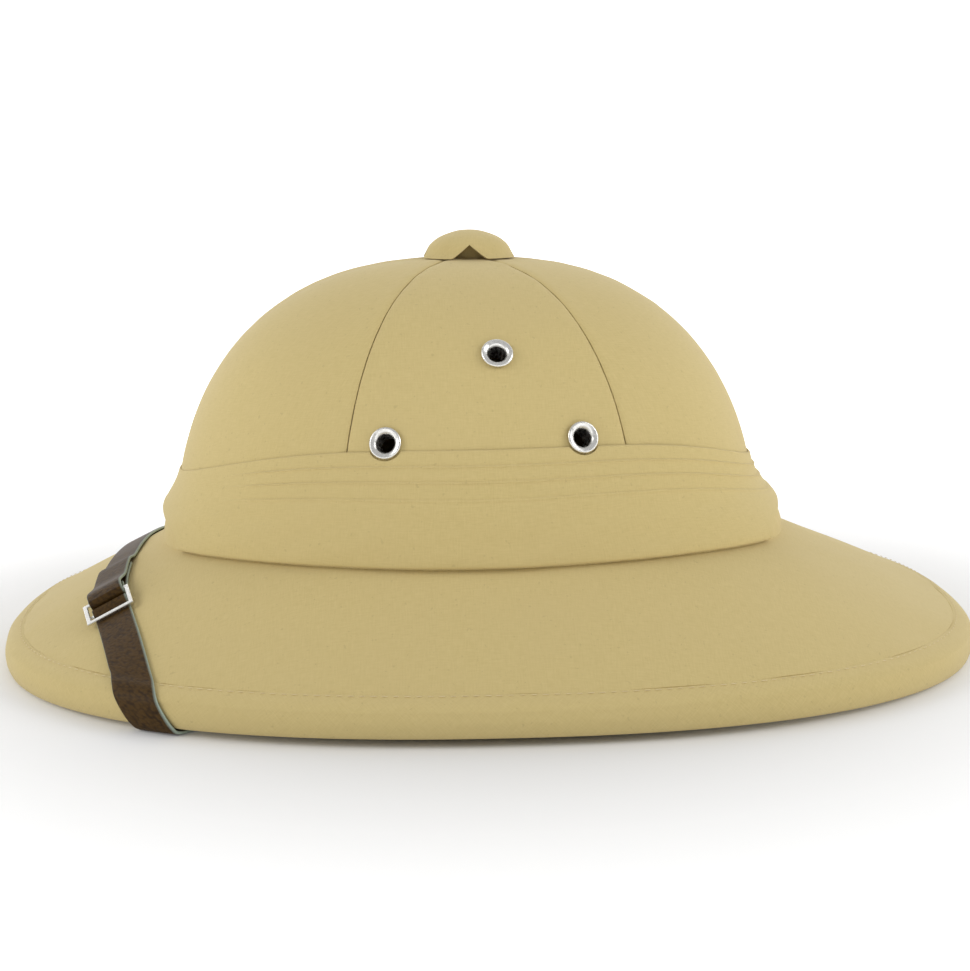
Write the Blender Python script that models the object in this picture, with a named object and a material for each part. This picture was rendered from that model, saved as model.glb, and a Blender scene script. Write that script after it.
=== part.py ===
"""Pith helmet: a moulded shell covered in sewn cloth, with a pleated band round the crown, a vent cap on
top, six rolled eyelets and a leather chin strap worn up over the front of the brim.

Metres, +Z up. The rim stands on z = 0, the front faces -Y and the wearer's left is +X. The origin is the
middle of the hat's outline on the resting plane.
"""
import math

import bpy
import numpy as np
from mathutils import Matrix, Vector

MM = 0.001

# ---- driving dimensions --------------------------------------------------------------------------------
HAT_LENGTH = 345 * MM
HAT_WIDTH = 276 * MM
RIM_WIDEST_Y = 0.6 * MM            # where the brim is widest
RIM_FULLNESS = 2.34                # exponent of the rim's plan curve: 2 is an ellipse
RIM_LIFT = 2.6 * MM                # the sides of the rim stand clear of the table, front and back rest on it
RIM_REST_SHARE = 0.93              # where along the half length the lift ends

CROWN_CENTRE_Y = -7.6 * MM
CROWN_TOP_Z = 136.4 * MM           # cloth surface at the top of the crown
CROWN_FOOT_Z = 42 * MM
CROWN_HALF_LENGTH = 104.3 * MM
CROWN_HALF_WIDTH = 89.7 * MM
CROWN_RISE = 2.04                  # exponents of the dome's profile
CROWN_FULLNESS = 2.56

FLARE_TOP_Z = 62 * MM              # the wall swells outwards from here down to the brim
FLARE_FOOT_Z = 40 * MM
FLARE_FRONT = 6.0 * MM
FLARE_BACK = 10.0 * MM
FLARE_SIDE = 1.7 * MM

BRIM_ROOT_Z_SIDE = 43.2 * MM       # where the brim leaves the wall
BRIM_ROOT_Z_ENDS = 41.8 * MM
CREASE_INSET = 6.3 * MM            # the cloth of the brim meets the rim binding at this crease
CREASE_HEIGHT = 12.1 * MM

CLOTH = 1.0 * MM
BINDING_CLOTH = 1.2 * MM
SHELL_WALL = 4.0 * MM
GAP = 0.3 * MM                     # between pieces that touch

POST_RADIUS = 4.0 * MM
POST_HOLE_RADIUS = 4.4 * MM
VENT_SETBACK = 2.0 * MM            # the vent cap sits this far behind the crown's centre
GORE_HOLE_RADIUS = 11.0 * MM       # the six gores end round the vent cap's foot
SEAM_GAP = 0.2 * MM                # half the gap between two gores

BAND_TOP_Z = 80.3 * MM             # top edge of the band at the sides
BAND_DIP_FRONT = 14.3 * MM         # and how far it dips at the front and the back
BAND_DIP_BACK = 10 * MM
BAND_BOTTOM_Z = 43.9 * MM          # bottom edge at the sides
BAND_BOTTOM_DROP = 1.1 * MM        # and how far it dips before its arches
BAND_ARCH_FRONT = 10.9 * MM        # the bottom edge arches up at the front and the back
BAND_ARCH_BACK = 9.6 * MM
BAND_ARCH_ANGLE = 30.0             # degrees either side of the centre line
BAND_GAP = 0.8 * MM
BAND_OVERLAP = 6 * MM              # how far the gores run down behind the band

EYELET_RADIUS = 5.5 * MM
EYELET_BORE = 2.8 * MM
EYELET_BARREL = 3.3 * MM
EYELET_SIDES = 12

STRAP_WIDTH = 13.5 * MM
LEATHER = 1.2 * MM
STRAP_FRONT_Y = -131.2 * MM        # the strap's centre line at the middle of the brim
STRAP_SWEEP = 5.6 * MM             # how far it has swept back at STRAP_SWEEP_X
STRAP_SWEEP_X = 65 * MM
STRAP_SWEEP_POWER = 3.0
STRAP_STRAIGHT_X = 65 * MM         # it runs straight on from here, round the rim
STRAP_LIFT = 0.4 * MM              # under its inner face

HIDDEN_HEADING = np.array([-0.08, 1.0, 0.0])  # where the strap heads as it leaves the rim's foot
HIDDEN_PULL = (48 * MM, 30 * MM)   # how long the hidden path holds its direction at either end
HIDDEN_SWING = 10 * MM             # how far it swings into the hollow, clear of the brim's inner edge
HIDDEN_SLANT = 25 * MM             # how much its rows slant as it leaves the rim's foot

BUCKLE_X = 61.5 * MM               # place of the buckle along the strap
BUCKLE_HALF_PITCH = 6.0 * MM       # from its middle bar to its front or back bar
BUCKLE_BAR = 1.2 * MM
BUCKLE_HALF_WIDTH = 8.6 * MM
FRONT_BAR_HEIGHT = 2.5 * MM        # middle of the bar above the brim's cloth
BACK_BAR_HEIGHT = 4.2 * MM
MIDDLE_BAR_HEIGHT = 0.9 * MM

ANCHOR_Z = 55 * MM                 # the strap's hidden rivets, inside the crown wall
ANCHOR_PHI = 78.0                  # degrees round the crown from the front
ANCHOR_GAP = 1.6 * MM              # between the strap's end and the wall
RIVET_HEAD_RADIUS = 4.5 * MM
RIVET_SHANK_RADIUS = 1.5 * MM
RIVET_HOLE_RADIUS = 1.8 * MM

# Gores: their seams in degrees round the crown from the front centre, and the mesh columns in each.
GORE_EDGES = (0.0, 66.0, 121.0, 180.0, 239.0, 294.0, 360.0)
GORE_COLUMNS = (7, 6, 7, 7, 6, 7)

# Eyelets on the left side: place along Y from the crown's centre, and height.
EYELETS = {
    "front": (-27.1 * MM, 82.1 * MM),
    "top": (8.9 * MM, 108.6 * MM),
    "back": (35.5 * MM, 82.5 * MM),
}

# Rim binding's outer outline from the crease down round the edge: inset from the edge, height above the foot.
RIM_OUTLINE = np.array([
    (6.3, 12.1),
    (3.0, 10.6),
    (0.7, 8.2),
    (0.0, 5.0),
    (0.5, 1.6),
    (2.2, 0.0),
    (8.6, 0.0),
]) * MM

# Band's outer face from its top edge down: share of its height at the sides, share of its height at the
# front and the back, thickness over the crown. Each step outwards is a pleat's edge.
BAND_PLEATS = (
    (0.0, 0.0, 1.8 * MM),
    (0.12, 0.40, 1.9 * MM),
    (0.135, 0.44, 2.5 * MM),
    (0.25, 0.69, 2.6 * MM),
    (0.265, 0.73, 3.2 * MM),
    (0.40, 0.90, 3.2 * MM),
    (0.415, 0.92, 3.6 * MM),
    (0.75, 0.95, 3.5 * MM),
    (0.96, 0.98, 3.2 * MM),
    (1.0, 1.0, 2.4 * MM),
)
BAND_INSIDE = (1.0, 0.86, 0.7, 0.5, 0.25, 0.0)


# ---- materials and mesh helpers ------------------------------------------------------------------------
def make_material(name, colour, roughness, metallic=0.0):
    material = bpy.data.materials.new(name)
    material.use_nodes = True
    shader = material.node_tree.nodes["Principled BSDF"]
    shader.inputs["Base Color"].default_value = (*colour, 1.0)
    shader.inputs["Roughness"].default_value = roughness
    shader.inputs["Metallic"].default_value = metallic
    return material


def signed_volume(points, faces):
    a, b, c = (points[faces[:, k]] for k in range(3))
    return float(np.einsum("ij,ij->i", a, np.cross(b, c)).sum()) / 6.0


def add_solid(name, points, faces, material, sharp_angle=40.0):
    """One closed body as a named object, its faces turned to point out."""
    points = np.asarray(points, dtype=float)
    faces = np.asarray(faces, dtype=int)
    if signed_volume(points, faces) < 0:
        faces = faces[:, ::-1]
    mesh = bpy.data.meshes.new(name)
    mesh.from_pydata(points.tolist(), [], faces.tolist())
    mesh.shade_smooth()
    mesh.set_sharp_from_angle(angle=math.radians(sharp_angle))
    mesh.materials.append(material)
    solid = bpy.data.objects.new(name, mesh)
    bpy.context.scene.collection.objects.link(solid)
    return solid


def quad_faces(rows, columns, row_wrap, column_wrap, upper_first, mirrored):
    """Triangles of a grid. Each quad is split from its higher row, so that layers that lie on each other
    are split alike, and the two halves of the hat mirror each other."""
    faces = []
    for i in range(rows if row_wrap else rows - 1):
        low = (i + 1) % rows
        for j in range(columns if column_wrap else columns - 1):
            right = (j + 1) % columns
            a, b = i * columns + j, i * columns + right
            c, d = low * columns + right, low * columns + j
            if upper_first[i] != mirrored[j]:
                faces += [(a, b, c), (a, c, d)]
            else:
                faces += [(a, b, d), (b, c, d)]
    return faces


def ring_solid(name, grid, material, sharp_angle=40.0):
    """A body swept all the way round: grid[row, column] is a closed section in each column."""
    rows, columns, _ = grid.shape
    heights = grid[:, :, 2].mean(axis=1)
    upper_first = heights >= np.roll(heights, -1)
    faces = quad_faces(rows, columns, True, True, upper_first, PHI >= math.pi)
    return add_solid(name, grid.reshape(-1, 3), faces, material, sharp_angle)


def sheet_solid(name, outer, inner, material, mirrored=False):
    """A body between two open grids of the same shape, closed along its four borders."""
    rows, columns, _ = outer.shape
    faces = quad_faces(rows, columns, False, False, [True] * rows, [mirrored] * columns)
    count = rows * columns
    border = [j for j in range(columns)]
    border += [i * columns + columns - 1 for i in range(1, rows)]
    border += [(rows - 1) * columns + j for j in range(columns - 2, -1, -1)]
    border += [i * columns for i in range(rows - 2, 0, -1)]
    under = [(a + count, c + count, b + count) for a, b, c in faces]
    walls = []
    for here, there in zip(border, border[1:] + border[:1]):
        walls += [(here, here + count, there + count), (here, there + count, there)]
    points = np.concatenate([outer.reshape(-1, 3), inner.reshape(-1, 3)])
    return add_solid(name, points, faces + under + walls, material)


def spun_mesh(grid):
    """Points and triangles round an axis: the first and last rows close onto points on the axis."""
    rows, columns, _ = grid.shape
    faces = quad_faces(rows, columns, False, True, [True] * rows, [False] * columns)
    points = list(grid.reshape(-1, 3))
    for row, flip in ((0, True), (rows - 1, False)):
        pole = len(points)
        points.append(grid[row].mean(axis=0))
        for j in range(columns):
            pair = (row * columns + j, row * columns + (j + 1) % columns)
            faces.append((pole, *pair[::-1]) if flip else (pole, *pair))
    return points, faces


def spun_solid(name, grid, material, sharp_angle=40.0):
    points, faces = spun_mesh(grid)
    return add_solid(name, points, faces, material, sharp_angle)


def drill(target, holes, sides=12):
    """Round holes through a body, cut by one hidden set of pegs. Each hole is a centre, an axis, the
    radius that it has to clear and half a length."""
    angles = np.linspace(0, 2 * math.pi, sides, endpoint=False)
    points, faces = [], []
    for centre, axis, radius, half_length in holes:
        turn = np.array(Vector(axis).to_track_quat("Z", "Y").to_matrix())
        corner = radius / math.cos(math.pi / sides)
        ring = np.stack([corner * np.cos(angles), corner * np.sin(angles), 0 * angles], axis=-1)
        peg = np.stack([ring + (0, 0, half_length), ring - (0, 0, half_length)])
        peg_points, peg_faces = spun_mesh(peg)
        faces += [tuple(index + len(points) for index in face) for face in peg_faces]
        points += [centre + turn @ point for point in peg_points]
    cutter = add_solid(f"pegs_{target.name}", points, faces, MATERIALS["metal"])
    cutter.hide_render = True
    cutter.display_type = "WIRE"
    cut = target.modifiers.new("holes", "BOOLEAN")
    cut.operation = "DIFFERENCE"
    cut.solver = "EXACT"
    cut.object = cutter


# ---- the hat's outer surface ---------------------------------------------------------------------------
PHI = np.radians(np.concatenate([
    np.linspace(start, end, count, endpoint=False)
    for start, end, count in zip(GORE_EDGES, GORE_EDGES[1:], GORE_COLUMNS)
]))


def smoothstep(value):
    value = np.clip(value, 0.0, 1.0)
    return value * value * (3.0 - 2.0 * value)


def front_back(phi, front, back):
    """A size that goes from nothing at the sides to its front or back value at the centre line."""
    return np.where(np.cos(phi) > 0, front, back) * np.cos(phi) ** 2


def dome_height(half):
    """Height on the dome where its half length has shrunk to the given share."""
    return CROWN_FOOT_Z + (CROWN_TOP_Z - CROWN_FOOT_Z) * (1 - half ** CROWN_FULLNESS) ** (1 / CROWN_RISE)


def crown_point(z, phi, out=0.0):
    """Cloth surface of the crown and its wall at a height and an angle from the front."""
    share = np.clip((z - CROWN_FOOT_Z) / (CROWN_TOP_Z - CROWN_FOOT_Z), 0.0, 1.0)
    half = np.clip(1 - share ** CROWN_RISE, 0.0, 1.0) ** (1 / CROWN_FULLNESS)
    swell = smoothstep((FLARE_TOP_Z - z) / (FLARE_TOP_Z - FLARE_FOOT_Z))
    flare_length = np.where(np.cos(phi) > 0, FLARE_FRONT, FLARE_BACK)
    half_length = CROWN_HALF_LENGTH * half + flare_length * swell + out
    half_width = CROWN_HALF_WIDTH * half + FLARE_SIDE * swell + out
    x = half_width * np.sin(phi)
    y = CROWN_CENTRE_Y - half_length * np.cos(phi)
    return np.stack([x, y, z + 0 * phi], axis=-1)


def rim_plan(phi, inset=0.0):
    """Plan curve of the rim, or of a line inset from it."""
    sine, cosine = np.sin(phi), np.cos(phi)
    front = HAT_LENGTH / 2 + RIM_WIDEST_Y
    back = HAT_LENGTH / 2 - RIM_WIDEST_Y
    half_length = np.where(cosine > 0, front, back) - inset
    x = (HAT_WIDTH / 2 - inset) * np.sign(sine) * np.abs(sine) ** (2 / RIM_FULLNESS)
    y = RIM_WIDEST_Y - half_length * np.sign(cosine) * np.abs(cosine) ** (2 / RIM_FULLNESS)
    return np.stack([x, y], axis=-1)


def rim_lift(y):
    """Height of the rim's foot above the table."""
    front = HAT_LENGTH / 2 + RIM_WIDEST_Y
    back = HAT_LENGTH / 2 - RIM_WIDEST_Y
    reach = np.where(y < RIM_WIDEST_Y, front, back) * RIM_REST_SHARE
    return RIM_LIFT * np.clip(1 - (np.abs(y - RIM_WIDEST_Y) / reach) ** 3, 0.0, 1.0)


def brim_point(share, phi):
    """Cloth surface of the brim, from its root at the wall (0) to the crease at the rim (1)."""
    root_z = BRIM_ROOT_Z_SIDE + (BRIM_ROOT_Z_ENDS - BRIM_ROOT_Z_SIDE) * np.cos(phi) ** 2
    root = crown_point(root_z, phi)
    plan = rim_plan(phi, CREASE_INSET)
    crease = np.concatenate([plan, (CREASE_HEIGHT + rim_lift(plan[..., 1]))[..., None]], axis=-1)
    return root + (crease - root) * share


def band_edges(phi):
    """Heights of the band's top and bottom edges."""
    top = BAND_TOP_Z - front_back(phi, BAND_DIP_FRONT, BAND_DIP_BACK)
    turn = np.degrees(np.arccos(np.abs(np.cos(phi))))
    arch = np.cos(np.clip(turn / BAND_ARCH_ANGLE, 0.0, 1.0) * math.pi / 2)
    rise = np.where(np.cos(phi) > 0, BAND_ARCH_FRONT, BAND_ARCH_BACK)
    return top, BAND_BOTTOM_Z - BAND_BOTTOM_DROP * np.cos(phi) ** 2 + rise * arch


GORE_ROWS = 9
COLLAR_ROWS = 4


def skin_rows():
    """Rows of the outer cloth surface, from the vent cap's post down over the gores (rows 1 to GORE_ROWS),
    the collar and the brim's root to the crease."""
    gore_foot = band_edges(PHI)[0] - BAND_OVERLAP
    rise = CROWN_TOP_Z - CROWN_FOOT_Z
    top_turn = math.asin((dome_height(GORE_HOLE_RADIUS / CROWN_HALF_LENGTH) - CROWN_FOOT_Z) / rise)
    foot_turn = np.arcsin((gore_foot - CROWN_FOOT_Z) / rise)
    rows = [crown_point(dome_height(POST_HOLE_RADIUS / CROWN_HALF_LENGTH) + 0 * PHI, PHI)]
    rows[0][:, 0] = POST_HOLE_RADIUS * np.sin(PHI)
    rows[0][:, 1] = CROWN_CENTRE_Y + VENT_SETBACK - POST_HOLE_RADIUS * np.cos(PHI)
    for step in range(GORE_ROWS):
        turn = top_turn + (foot_turn - top_turn) * step / (GORE_ROWS - 1)
        rows.append(crown_point(CROWN_FOOT_Z + rise * np.sin(turn), PHI))
    root_z = brim_point(0.0, PHI)[:, 2]
    for step in range(1, COLLAR_ROWS + 1):
        rows.append(crown_point(gore_foot + (root_z - gore_foot) * step / COLLAR_ROWS, PHI))
    rows.append(brim_point(0.5, PHI))
    rows.append(brim_point(1.0, PHI))
    return np.array(rows)


def mitred(flats):
    """Directions at the corners between flats, given the flats' unit normals. They are lengthened so that
    a step along them keeps the same distance from the flat on either side."""
    before = np.concatenate([flats[:1], flats])
    after = np.concatenate([flats, flats[-1:]])
    middle = before + after
    middle /= np.linalg.norm(middle, axis=-1, keepdims=True)
    return middle / (middle * after).sum(axis=-1, keepdims=True)


def inward(grid, distance):
    """A grid moved into the hat along its own normals."""
    along = np.roll(grid, -1, axis=1) - np.roll(grid, 1, axis=1)
    flats = np.cross(np.diff(grid, axis=0), (along[:-1] + along[1:]) / 2)
    flats /= np.linalg.norm(flats, axis=2, keepdims=True)
    outwards = grid[:-1] - np.array([0.0, CROWN_CENTRE_Y, 0.0])
    flats *= np.sign(np.einsum("ijk,ijk->ij", flats, outwards))[:, :, None]
    return grid - mitred(flats) * distance


def section_normals(outline):
    """Normals of a rim section, pointing out of the rim."""
    run = np.diff(outline, axis=0)
    flats = np.stack([run[:, 1], -run[:, 0]], axis=-1)
    return mitred(flats / np.linalg.norm(flats, axis=1, keepdims=True))


def rim_rows(section):
    """Rows of a section given as inset and height, swept round the rim."""
    rows = []
    for inset, height in section:
        foot = rim_lift(rim_plan(PHI)[:, 1])
        rows.append(np.concatenate([rim_plan(PHI, inset), (height + foot)[:, None]], axis=-1))
    return np.array(rows)


# ---- moulded and sewn pieces ---------------------------------------------------------------------------
def build_shell(skin):
    outside = inward(skin, CLOTH + GAP)[:-1]
    inside = inward(skin, CLOTH + GAP + SHELL_WALL)
    inside = inside[[0, *range(1, GORE_ROWS + COLLAR_ROWS + 1, 2)]]
    bead = RIM_OUTLINE - section_normals(RIM_OUTLINE) * (BINDING_CLOTH + 0.35 * MM)
    bead[0] = (7.7 * MM, 10.6 * MM)
    underside = np.array([(10.9 * MM, 3.4 * MM)])
    grid = np.concatenate([outside, rim_rows(np.concatenate([bead, underside])), inside[::-1]])
    grid[0, :, :2] = skin[0, :, :2]
    grid[-1, :, :2] = skin[0, :, :2]
    return ring_solid("shell", grid, MATERIALS["shell"])


def build_gores(skin):
    """Six cloth gores over the dome."""
    inner_skin = inward(skin, CLOTH)
    gores = []
    start = 0
    for number, count in enumerate(GORE_COLUMNS, start=1):
        columns = np.arange(start, start + count + 1) % len(PHI)
        outer = skin[1:GORE_ROWS + 1, columns].copy()
        inner = inner_skin[1:GORE_ROWS + 1, columns].copy()
        for layer in (outer, inner):
            for edge, step in ((0, 1), (-1, -1)):
                towards = layer[:, edge + step] - layer[:, edge]
                towards /= np.linalg.norm(towards, axis=1, keepdims=True)
                layer[:, edge] += towards * SEAM_GAP
        mirrored = start >= len(PHI) // 2
        gores.append(sheet_solid(f"crown_panel_{number}", outer, inner, MATERIALS["cloth"], mirrored))
        start += count
    return gores


def build_brim_cover(skin):
    """Cloth of the brim, with its collar turned up behind the band."""
    layers = []
    for depth in (0.0, CLOTH):
        layer = inward(skin, depth)[GORE_ROWS:].copy()
        fall = layer[1] - layer[0]
        layer[0] += fall / np.linalg.norm(fall, axis=1, keepdims=True) * 2 * GAP
        back_off = layer[-2] - layer[-1]
        layer[-1] += back_off / np.linalg.norm(back_off, axis=1, keepdims=True) * 2 * GAP
        layers.append(layer)
    return ring_solid("brim_cover", np.concatenate([layers[0], layers[1][::-1]]), MATERIALS["cloth"])


def build_rim_binding():
    inner = RIM_OUTLINE - section_normals(RIM_OUTLINE) * BINDING_CLOTH
    section = np.concatenate([RIM_OUTLINE, inner[::-1]])
    return ring_solid("rim_binding", rim_rows(section), MATERIALS["cloth"])


def build_puggaree():
    """The pleated band: every pleat steps a little further out than the one above it. The pleats spread
    apart where the band grows narrow over its arches."""
    top, bottom = band_edges(PHI)
    ends = np.cos(PHI) ** 6
    rows = []
    for side_share, end_share, thickness in BAND_PLEATS:
        share = side_share + (end_share - side_share) * ends
        rows.append(crown_point(top + (bottom - top) * share, PHI, thickness))
    for share in BAND_INSIDE:
        rows.append(crown_point(top + (bottom - top) * share, PHI, BAND_GAP))
    return ring_solid("puggaree", np.array(rows), MATERIALS["cloth"], 25.0)


# ---- vent cap ------------------------------------------------------------------------------------------
CAP_RADIUS = 16.3 * MM
CAP_HEIGHT = 9.7 * MM
CAP_FOOT = -0.4 * MM               # its foot follows the crown, which falls away from the centre
CAP_WALL = 1.5 * MM
CAP_SIDES = 24
CAP_ARCHES = 4
CAP_ARCH_HEIGHT = 4.8 * MM
CAP_ARCH_HALF_ANGLE = 23.0         # degrees either side of an arch's middle

# Cap's outer profile from the top: share of the radius, share of the height.
CAP_PROFILE = (
    (0.2, 0.98),
    (0.42, 0.89),
    (0.66, 0.70),
    (0.83, 0.48),
    (0.93, 0.22),
    (1.0, 0.0),
)
CAP_RINGS = 3                      # rings of the profile that run level; those below bend over the arches


def build_vent_cap():
    """Cloth-covered button with four pointed arches in its foot. Its post runs down through the crown and
    is clinched under the shell."""
    angle = np.linspace(0, 2 * math.pi, CAP_SIDES, endpoint=False)
    spacing = 2 * math.pi / CAP_ARCHES
    from_arch = np.abs((angle + spacing / 2) % spacing - spacing / 2) / math.radians(CAP_ARCH_HALF_ANGLE)
    foot = CAP_ARCH_HEIGHT * np.clip(1 - from_arch, 0.0, 1.0)
    around = np.stack([np.sin(angle), -np.cos(angle)], axis=-1)
    radii, heights = np.array(CAP_PROFILE).T * [[CAP_RADIUS], [CAP_HEIGHT]]

    def ring(radius, height):
        radius, height = (np.broadcast_to(size, angle.shape) for size in (radius, height))
        return np.concatenate([around * radius[:, None], CAP_FOOT + height[:, None]], axis=-1)

    rows = [ring(radius, height) for radius, height in zip(radii[:CAP_RINGS], heights[:CAP_RINGS])]
    shoulder = heights[CAP_RINGS - 1]
    for share in (0.4, 0.75, 1.0):
        height = shoulder + (foot - shoulder) * share
        rows.append(ring(np.interp(height, heights[::-1], radii[::-1]), height))
    foot_radius = np.interp(foot, heights[::-1], radii[::-1])
    rows.append(ring(foot_radius - CAP_WALL, foot))
    rows.append(ring(CAP_RADIUS * 0.56, CAP_HEIGHT * 0.58))
    rows.append(ring(POST_RADIUS, CAP_HEIGHT * 0.72))
    post_foot = -(CLOTH + GAP + SHELL_WALL) - 4 * GAP - CAP_FOOT
    rows.append(ring(POST_RADIUS, post_foot))
    rows.append(ring(POST_RADIUS + 3 * MM, post_foot))
    rows.append(ring(POST_RADIUS + 3 * MM, post_foot - 1.2 * MM))
    cap = spun_solid("vent_cap", np.array(rows), MATERIALS["cloth"], 50.0)
    cap.location = (0.0, CROWN_CENTRE_Y + VENT_SETBACK, CROWN_TOP_Z + GAP)


# ---- eyelets -------------------------------------------------------------------------------------------
# Eyelet's section round its own axis: radius, height over the cloth. The last points are its barrel.
EYELET_SECTION = (
    (EYELET_BARREL, 0.5 * MM),
    (EYELET_RADIUS - 0.4 * MM, 0.5 * MM),
    (EYELET_RADIUS, 1.0 * MM),
    (EYELET_RADIUS - 0.9 * MM, 1.6 * MM),
    (EYELET_BORE, 0.6 * MM),
    (EYELET_BORE, -6.2 * MM),
    (EYELET_BARREL, -6.2 * MM),
)


def eyelet_mesh():
    angle = np.linspace(0, 2 * math.pi, EYELET_SIDES, endpoint=False)
    grid = np.array([
        np.stack([radius * np.cos(angle), radius * np.sin(angle), height + 0 * angle], axis=-1)
        for radius, height in EYELET_SECTION
    ])
    rows = len(grid)
    faces = quad_faces(rows, EYELET_SIDES, True, True, [True] * rows, [False] * EYELET_SIDES)
    eyelet = add_solid("eyelet", grid.reshape(-1, 3), faces, MATERIALS["metal"])
    mesh = eyelet.data
    bpy.data.objects.remove(eyelet)
    return mesh


def crown_frame(z, phi):
    """Point and outward normal of the crown's cloth on the left side."""
    along = crown_point(np.array(z), np.array(phi + 0.01)) - crown_point(np.array(z), np.array(phi - 0.01))
    step = 0.5 * MM
    up = crown_point(np.array(z + step), np.array(phi)) - crown_point(np.array(z - step), np.array(phi))
    normal = np.cross(along, up)
    normal *= np.sign(normal[0]) / np.linalg.norm(normal)
    return crown_point(np.array(z), np.array(phi)), normal


def build_eyelets():
    """Places the six eyelets and gives each one's centre and axis."""
    mesh = eyelet_mesh()
    places = {}
    for side, sign in (("left", 1), ("right", -1)):
        for place, (y_from_centre, z) in EYELETS.items():
            half_length = CROWN_CENTRE_Y - crown_point(np.array(z), np.array(0.0))[1]
            centre, normal = crown_frame(z, math.acos(-y_from_centre / half_length))
            centre = centre * (sign, 1, 1)
            normal = normal * (sign, 1, 1)
            eyelet = bpy.data.objects.new(f"eyelet_{side}_{place}", mesh)
            bpy.context.scene.collection.objects.link(eyelet)
            eyelet.location = centre
            eyelet.rotation_mode = "QUATERNION"
            eyelet.rotation_quaternion = Vector(normal).to_track_quat("Z", "Y")
            places[side, place] = (centre, normal)
    return places


# ---- chin strap ----------------------------------------------------------------------------------------
STRAP_ACROSS = (-0.5, 0.0, 0.5)    # front edge, middle and rear edge of the strap
RIM_RUN = np.concatenate([[0.0], np.cumsum(np.linalg.norm(np.diff(RIM_OUTLINE, axis=0), axis=1))])
BRIM_STRETCH = 1.2                 # length down the brim's slope for each unit of plan width, near the rim
UNDER_HAT = CLOTH + GAP + SHELL_WALL


def strap_line(x):
    """Plan position of the strap's centre line at a distance from the middle, and its direction."""
    reach = min(x, STRAP_STRAIGHT_X)
    y = STRAP_FRONT_Y + STRAP_SWEEP * (reach / STRAP_SWEEP_X) ** STRAP_SWEEP_POWER
    slope = STRAP_SWEEP_POWER * (y - STRAP_FRONT_Y) / max(reach, MM)
    y += slope * (x - reach)
    return np.array([x, y]), np.array([1.0, slope]) / math.hypot(1.0, slope)


def brim_height(x, y):
    """Height of the brim's cloth over a plan point on the left front quarter."""
    low, high = -0.3, math.pi / 2
    for _ in range(40):
        middle = (low + high) / 2
        root = brim_point(0.0, np.array(middle))
        run = brim_point(1.0, np.array(middle)) - root
        side = run[0] * (y - root[1]) - run[1] * (x - root[0])
        low, high = (middle, high) if side > 0 else (low, middle)
    share = ((x - root[0]) * run[0] + (y - root[1]) * run[1]) / (run[0] ** 2 + run[1] ** 2)
    return root[2] + run[2] * share


def nearest_rim(x, y):
    """Rim point nearest to a plan point, its outward direction, and the point's inset from the rim."""
    phi = np.linspace(-0.1, math.pi / 2, 1200)
    line = rim_plan(phi)
    best = int(np.hypot(line[:, 0] - x, line[:, 1] - y).argmin())
    best = min(max(best, 1), len(phi) - 2)
    run = line[best + 1] - line[best - 1]
    outward = np.array([-run[1], run[0]]) / np.linalg.norm(run)
    outward *= np.sign(outward @ line[best])
    offset = np.array([x, y]) - line[best]
    return line[best], outward, -float(offset @ outward)


def lay_on_brim(x, y, height):
    """Point at a height over the brim's cloth."""
    step = 0.5 * MM
    fall_x = (brim_height(x + step, y) - brim_height(x - step, y)) / (2 * step)
    fall_y = (brim_height(x, y + step) - brim_height(x, y - step)) / (2 * step)
    normal = np.array([-fall_x, -fall_y, 1.0])
    return np.array([x, y, brim_height(x, y)]) + normal / np.linalg.norm(normal) * height


def strap_edge(x, across):
    """Plan position of a line along the strap, its width foreshortened by the brim's slope."""
    centre, direction = strap_line(x)
    rear = np.array([-direction[1], direction[0]])
    slope = (brim_height(*(centre + rear * MM)) - brim_height(*(centre - rear * MM))) / (2 * MM)
    return centre + rear * across * STRAP_WIDTH / math.hypot(1.0, min(abs(slope), 0.5))


def strap_station(x, height):
    """Rows of points across the strap's inner and outer faces, its middle at a height over the cloth."""
    faces = []
    for side in (-0.5, 0.5):
        level = height + side * LEATHER
        row = [lay_on_brim(*strap_edge(abs(x), across), level) for across in STRAP_ACROSS]
        faces.append(np.array(row) * (1.0 if x >= 0 else -1.0, 1.0, 1.0))
    return faces


def edge_reach(across, run):
    """How far along the strap one of its lines has gone a given way round the rim's section."""
    low, high = 90 * MM, 170 * MM
    for _ in range(30):
        middle = (low + high) / 2
        inset = nearest_rim(*strap_edge(middle, across))[2]
        low, high = (middle, high) if (CREASE_INSET - inset) * BRIM_STRETCH < run else (low, middle)
    return (low + high) / 2


def wrap_stations(start_x):
    """From the brim to the foot of the rim, crossing the rim at a slant. The rows across the strap turn
    until they lie along the rim."""
    crossing = [edge_reach(across, 0.0) for across in STRAP_ACROSS]
    stations = []
    for share in (0.3, 0.6, 0.85):
        faces = []
        for side in (-0.5, 0.5):
            row = []
            for across, reach in zip(STRAP_ACROSS, crossing):
                place = strap_edge(start_x + (reach - start_x) * share, across)
                row.append(lay_on_brim(*place, STRAP_LIFT + (0.5 + side) * LEATHER))
            faces.append(np.array(row))
        stations.append(faces)
    normals = section_normals(RIM_OUTLINE)
    for (inset, rise), facing, run in zip(RIM_OUTLINE, normals, RIM_RUN):
        faces = [[], []]
        for across in STRAP_ACROSS:
            edge, outward, _ = nearest_rim(*strap_edge(edge_reach(across, run), across))
            normal = np.array([-outward[0] * facing[0], -outward[1] * facing[0], facing[1]])
            base = np.array([*(edge - outward * inset), rise + rim_lift(edge[1])])
            faces[0].append(base + normal * STRAP_LIFT)
            faces[1].append(base + normal * (STRAP_LIFT + LEATHER))
        stations.append([np.array(face) for face in faces])
    return stations


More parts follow.
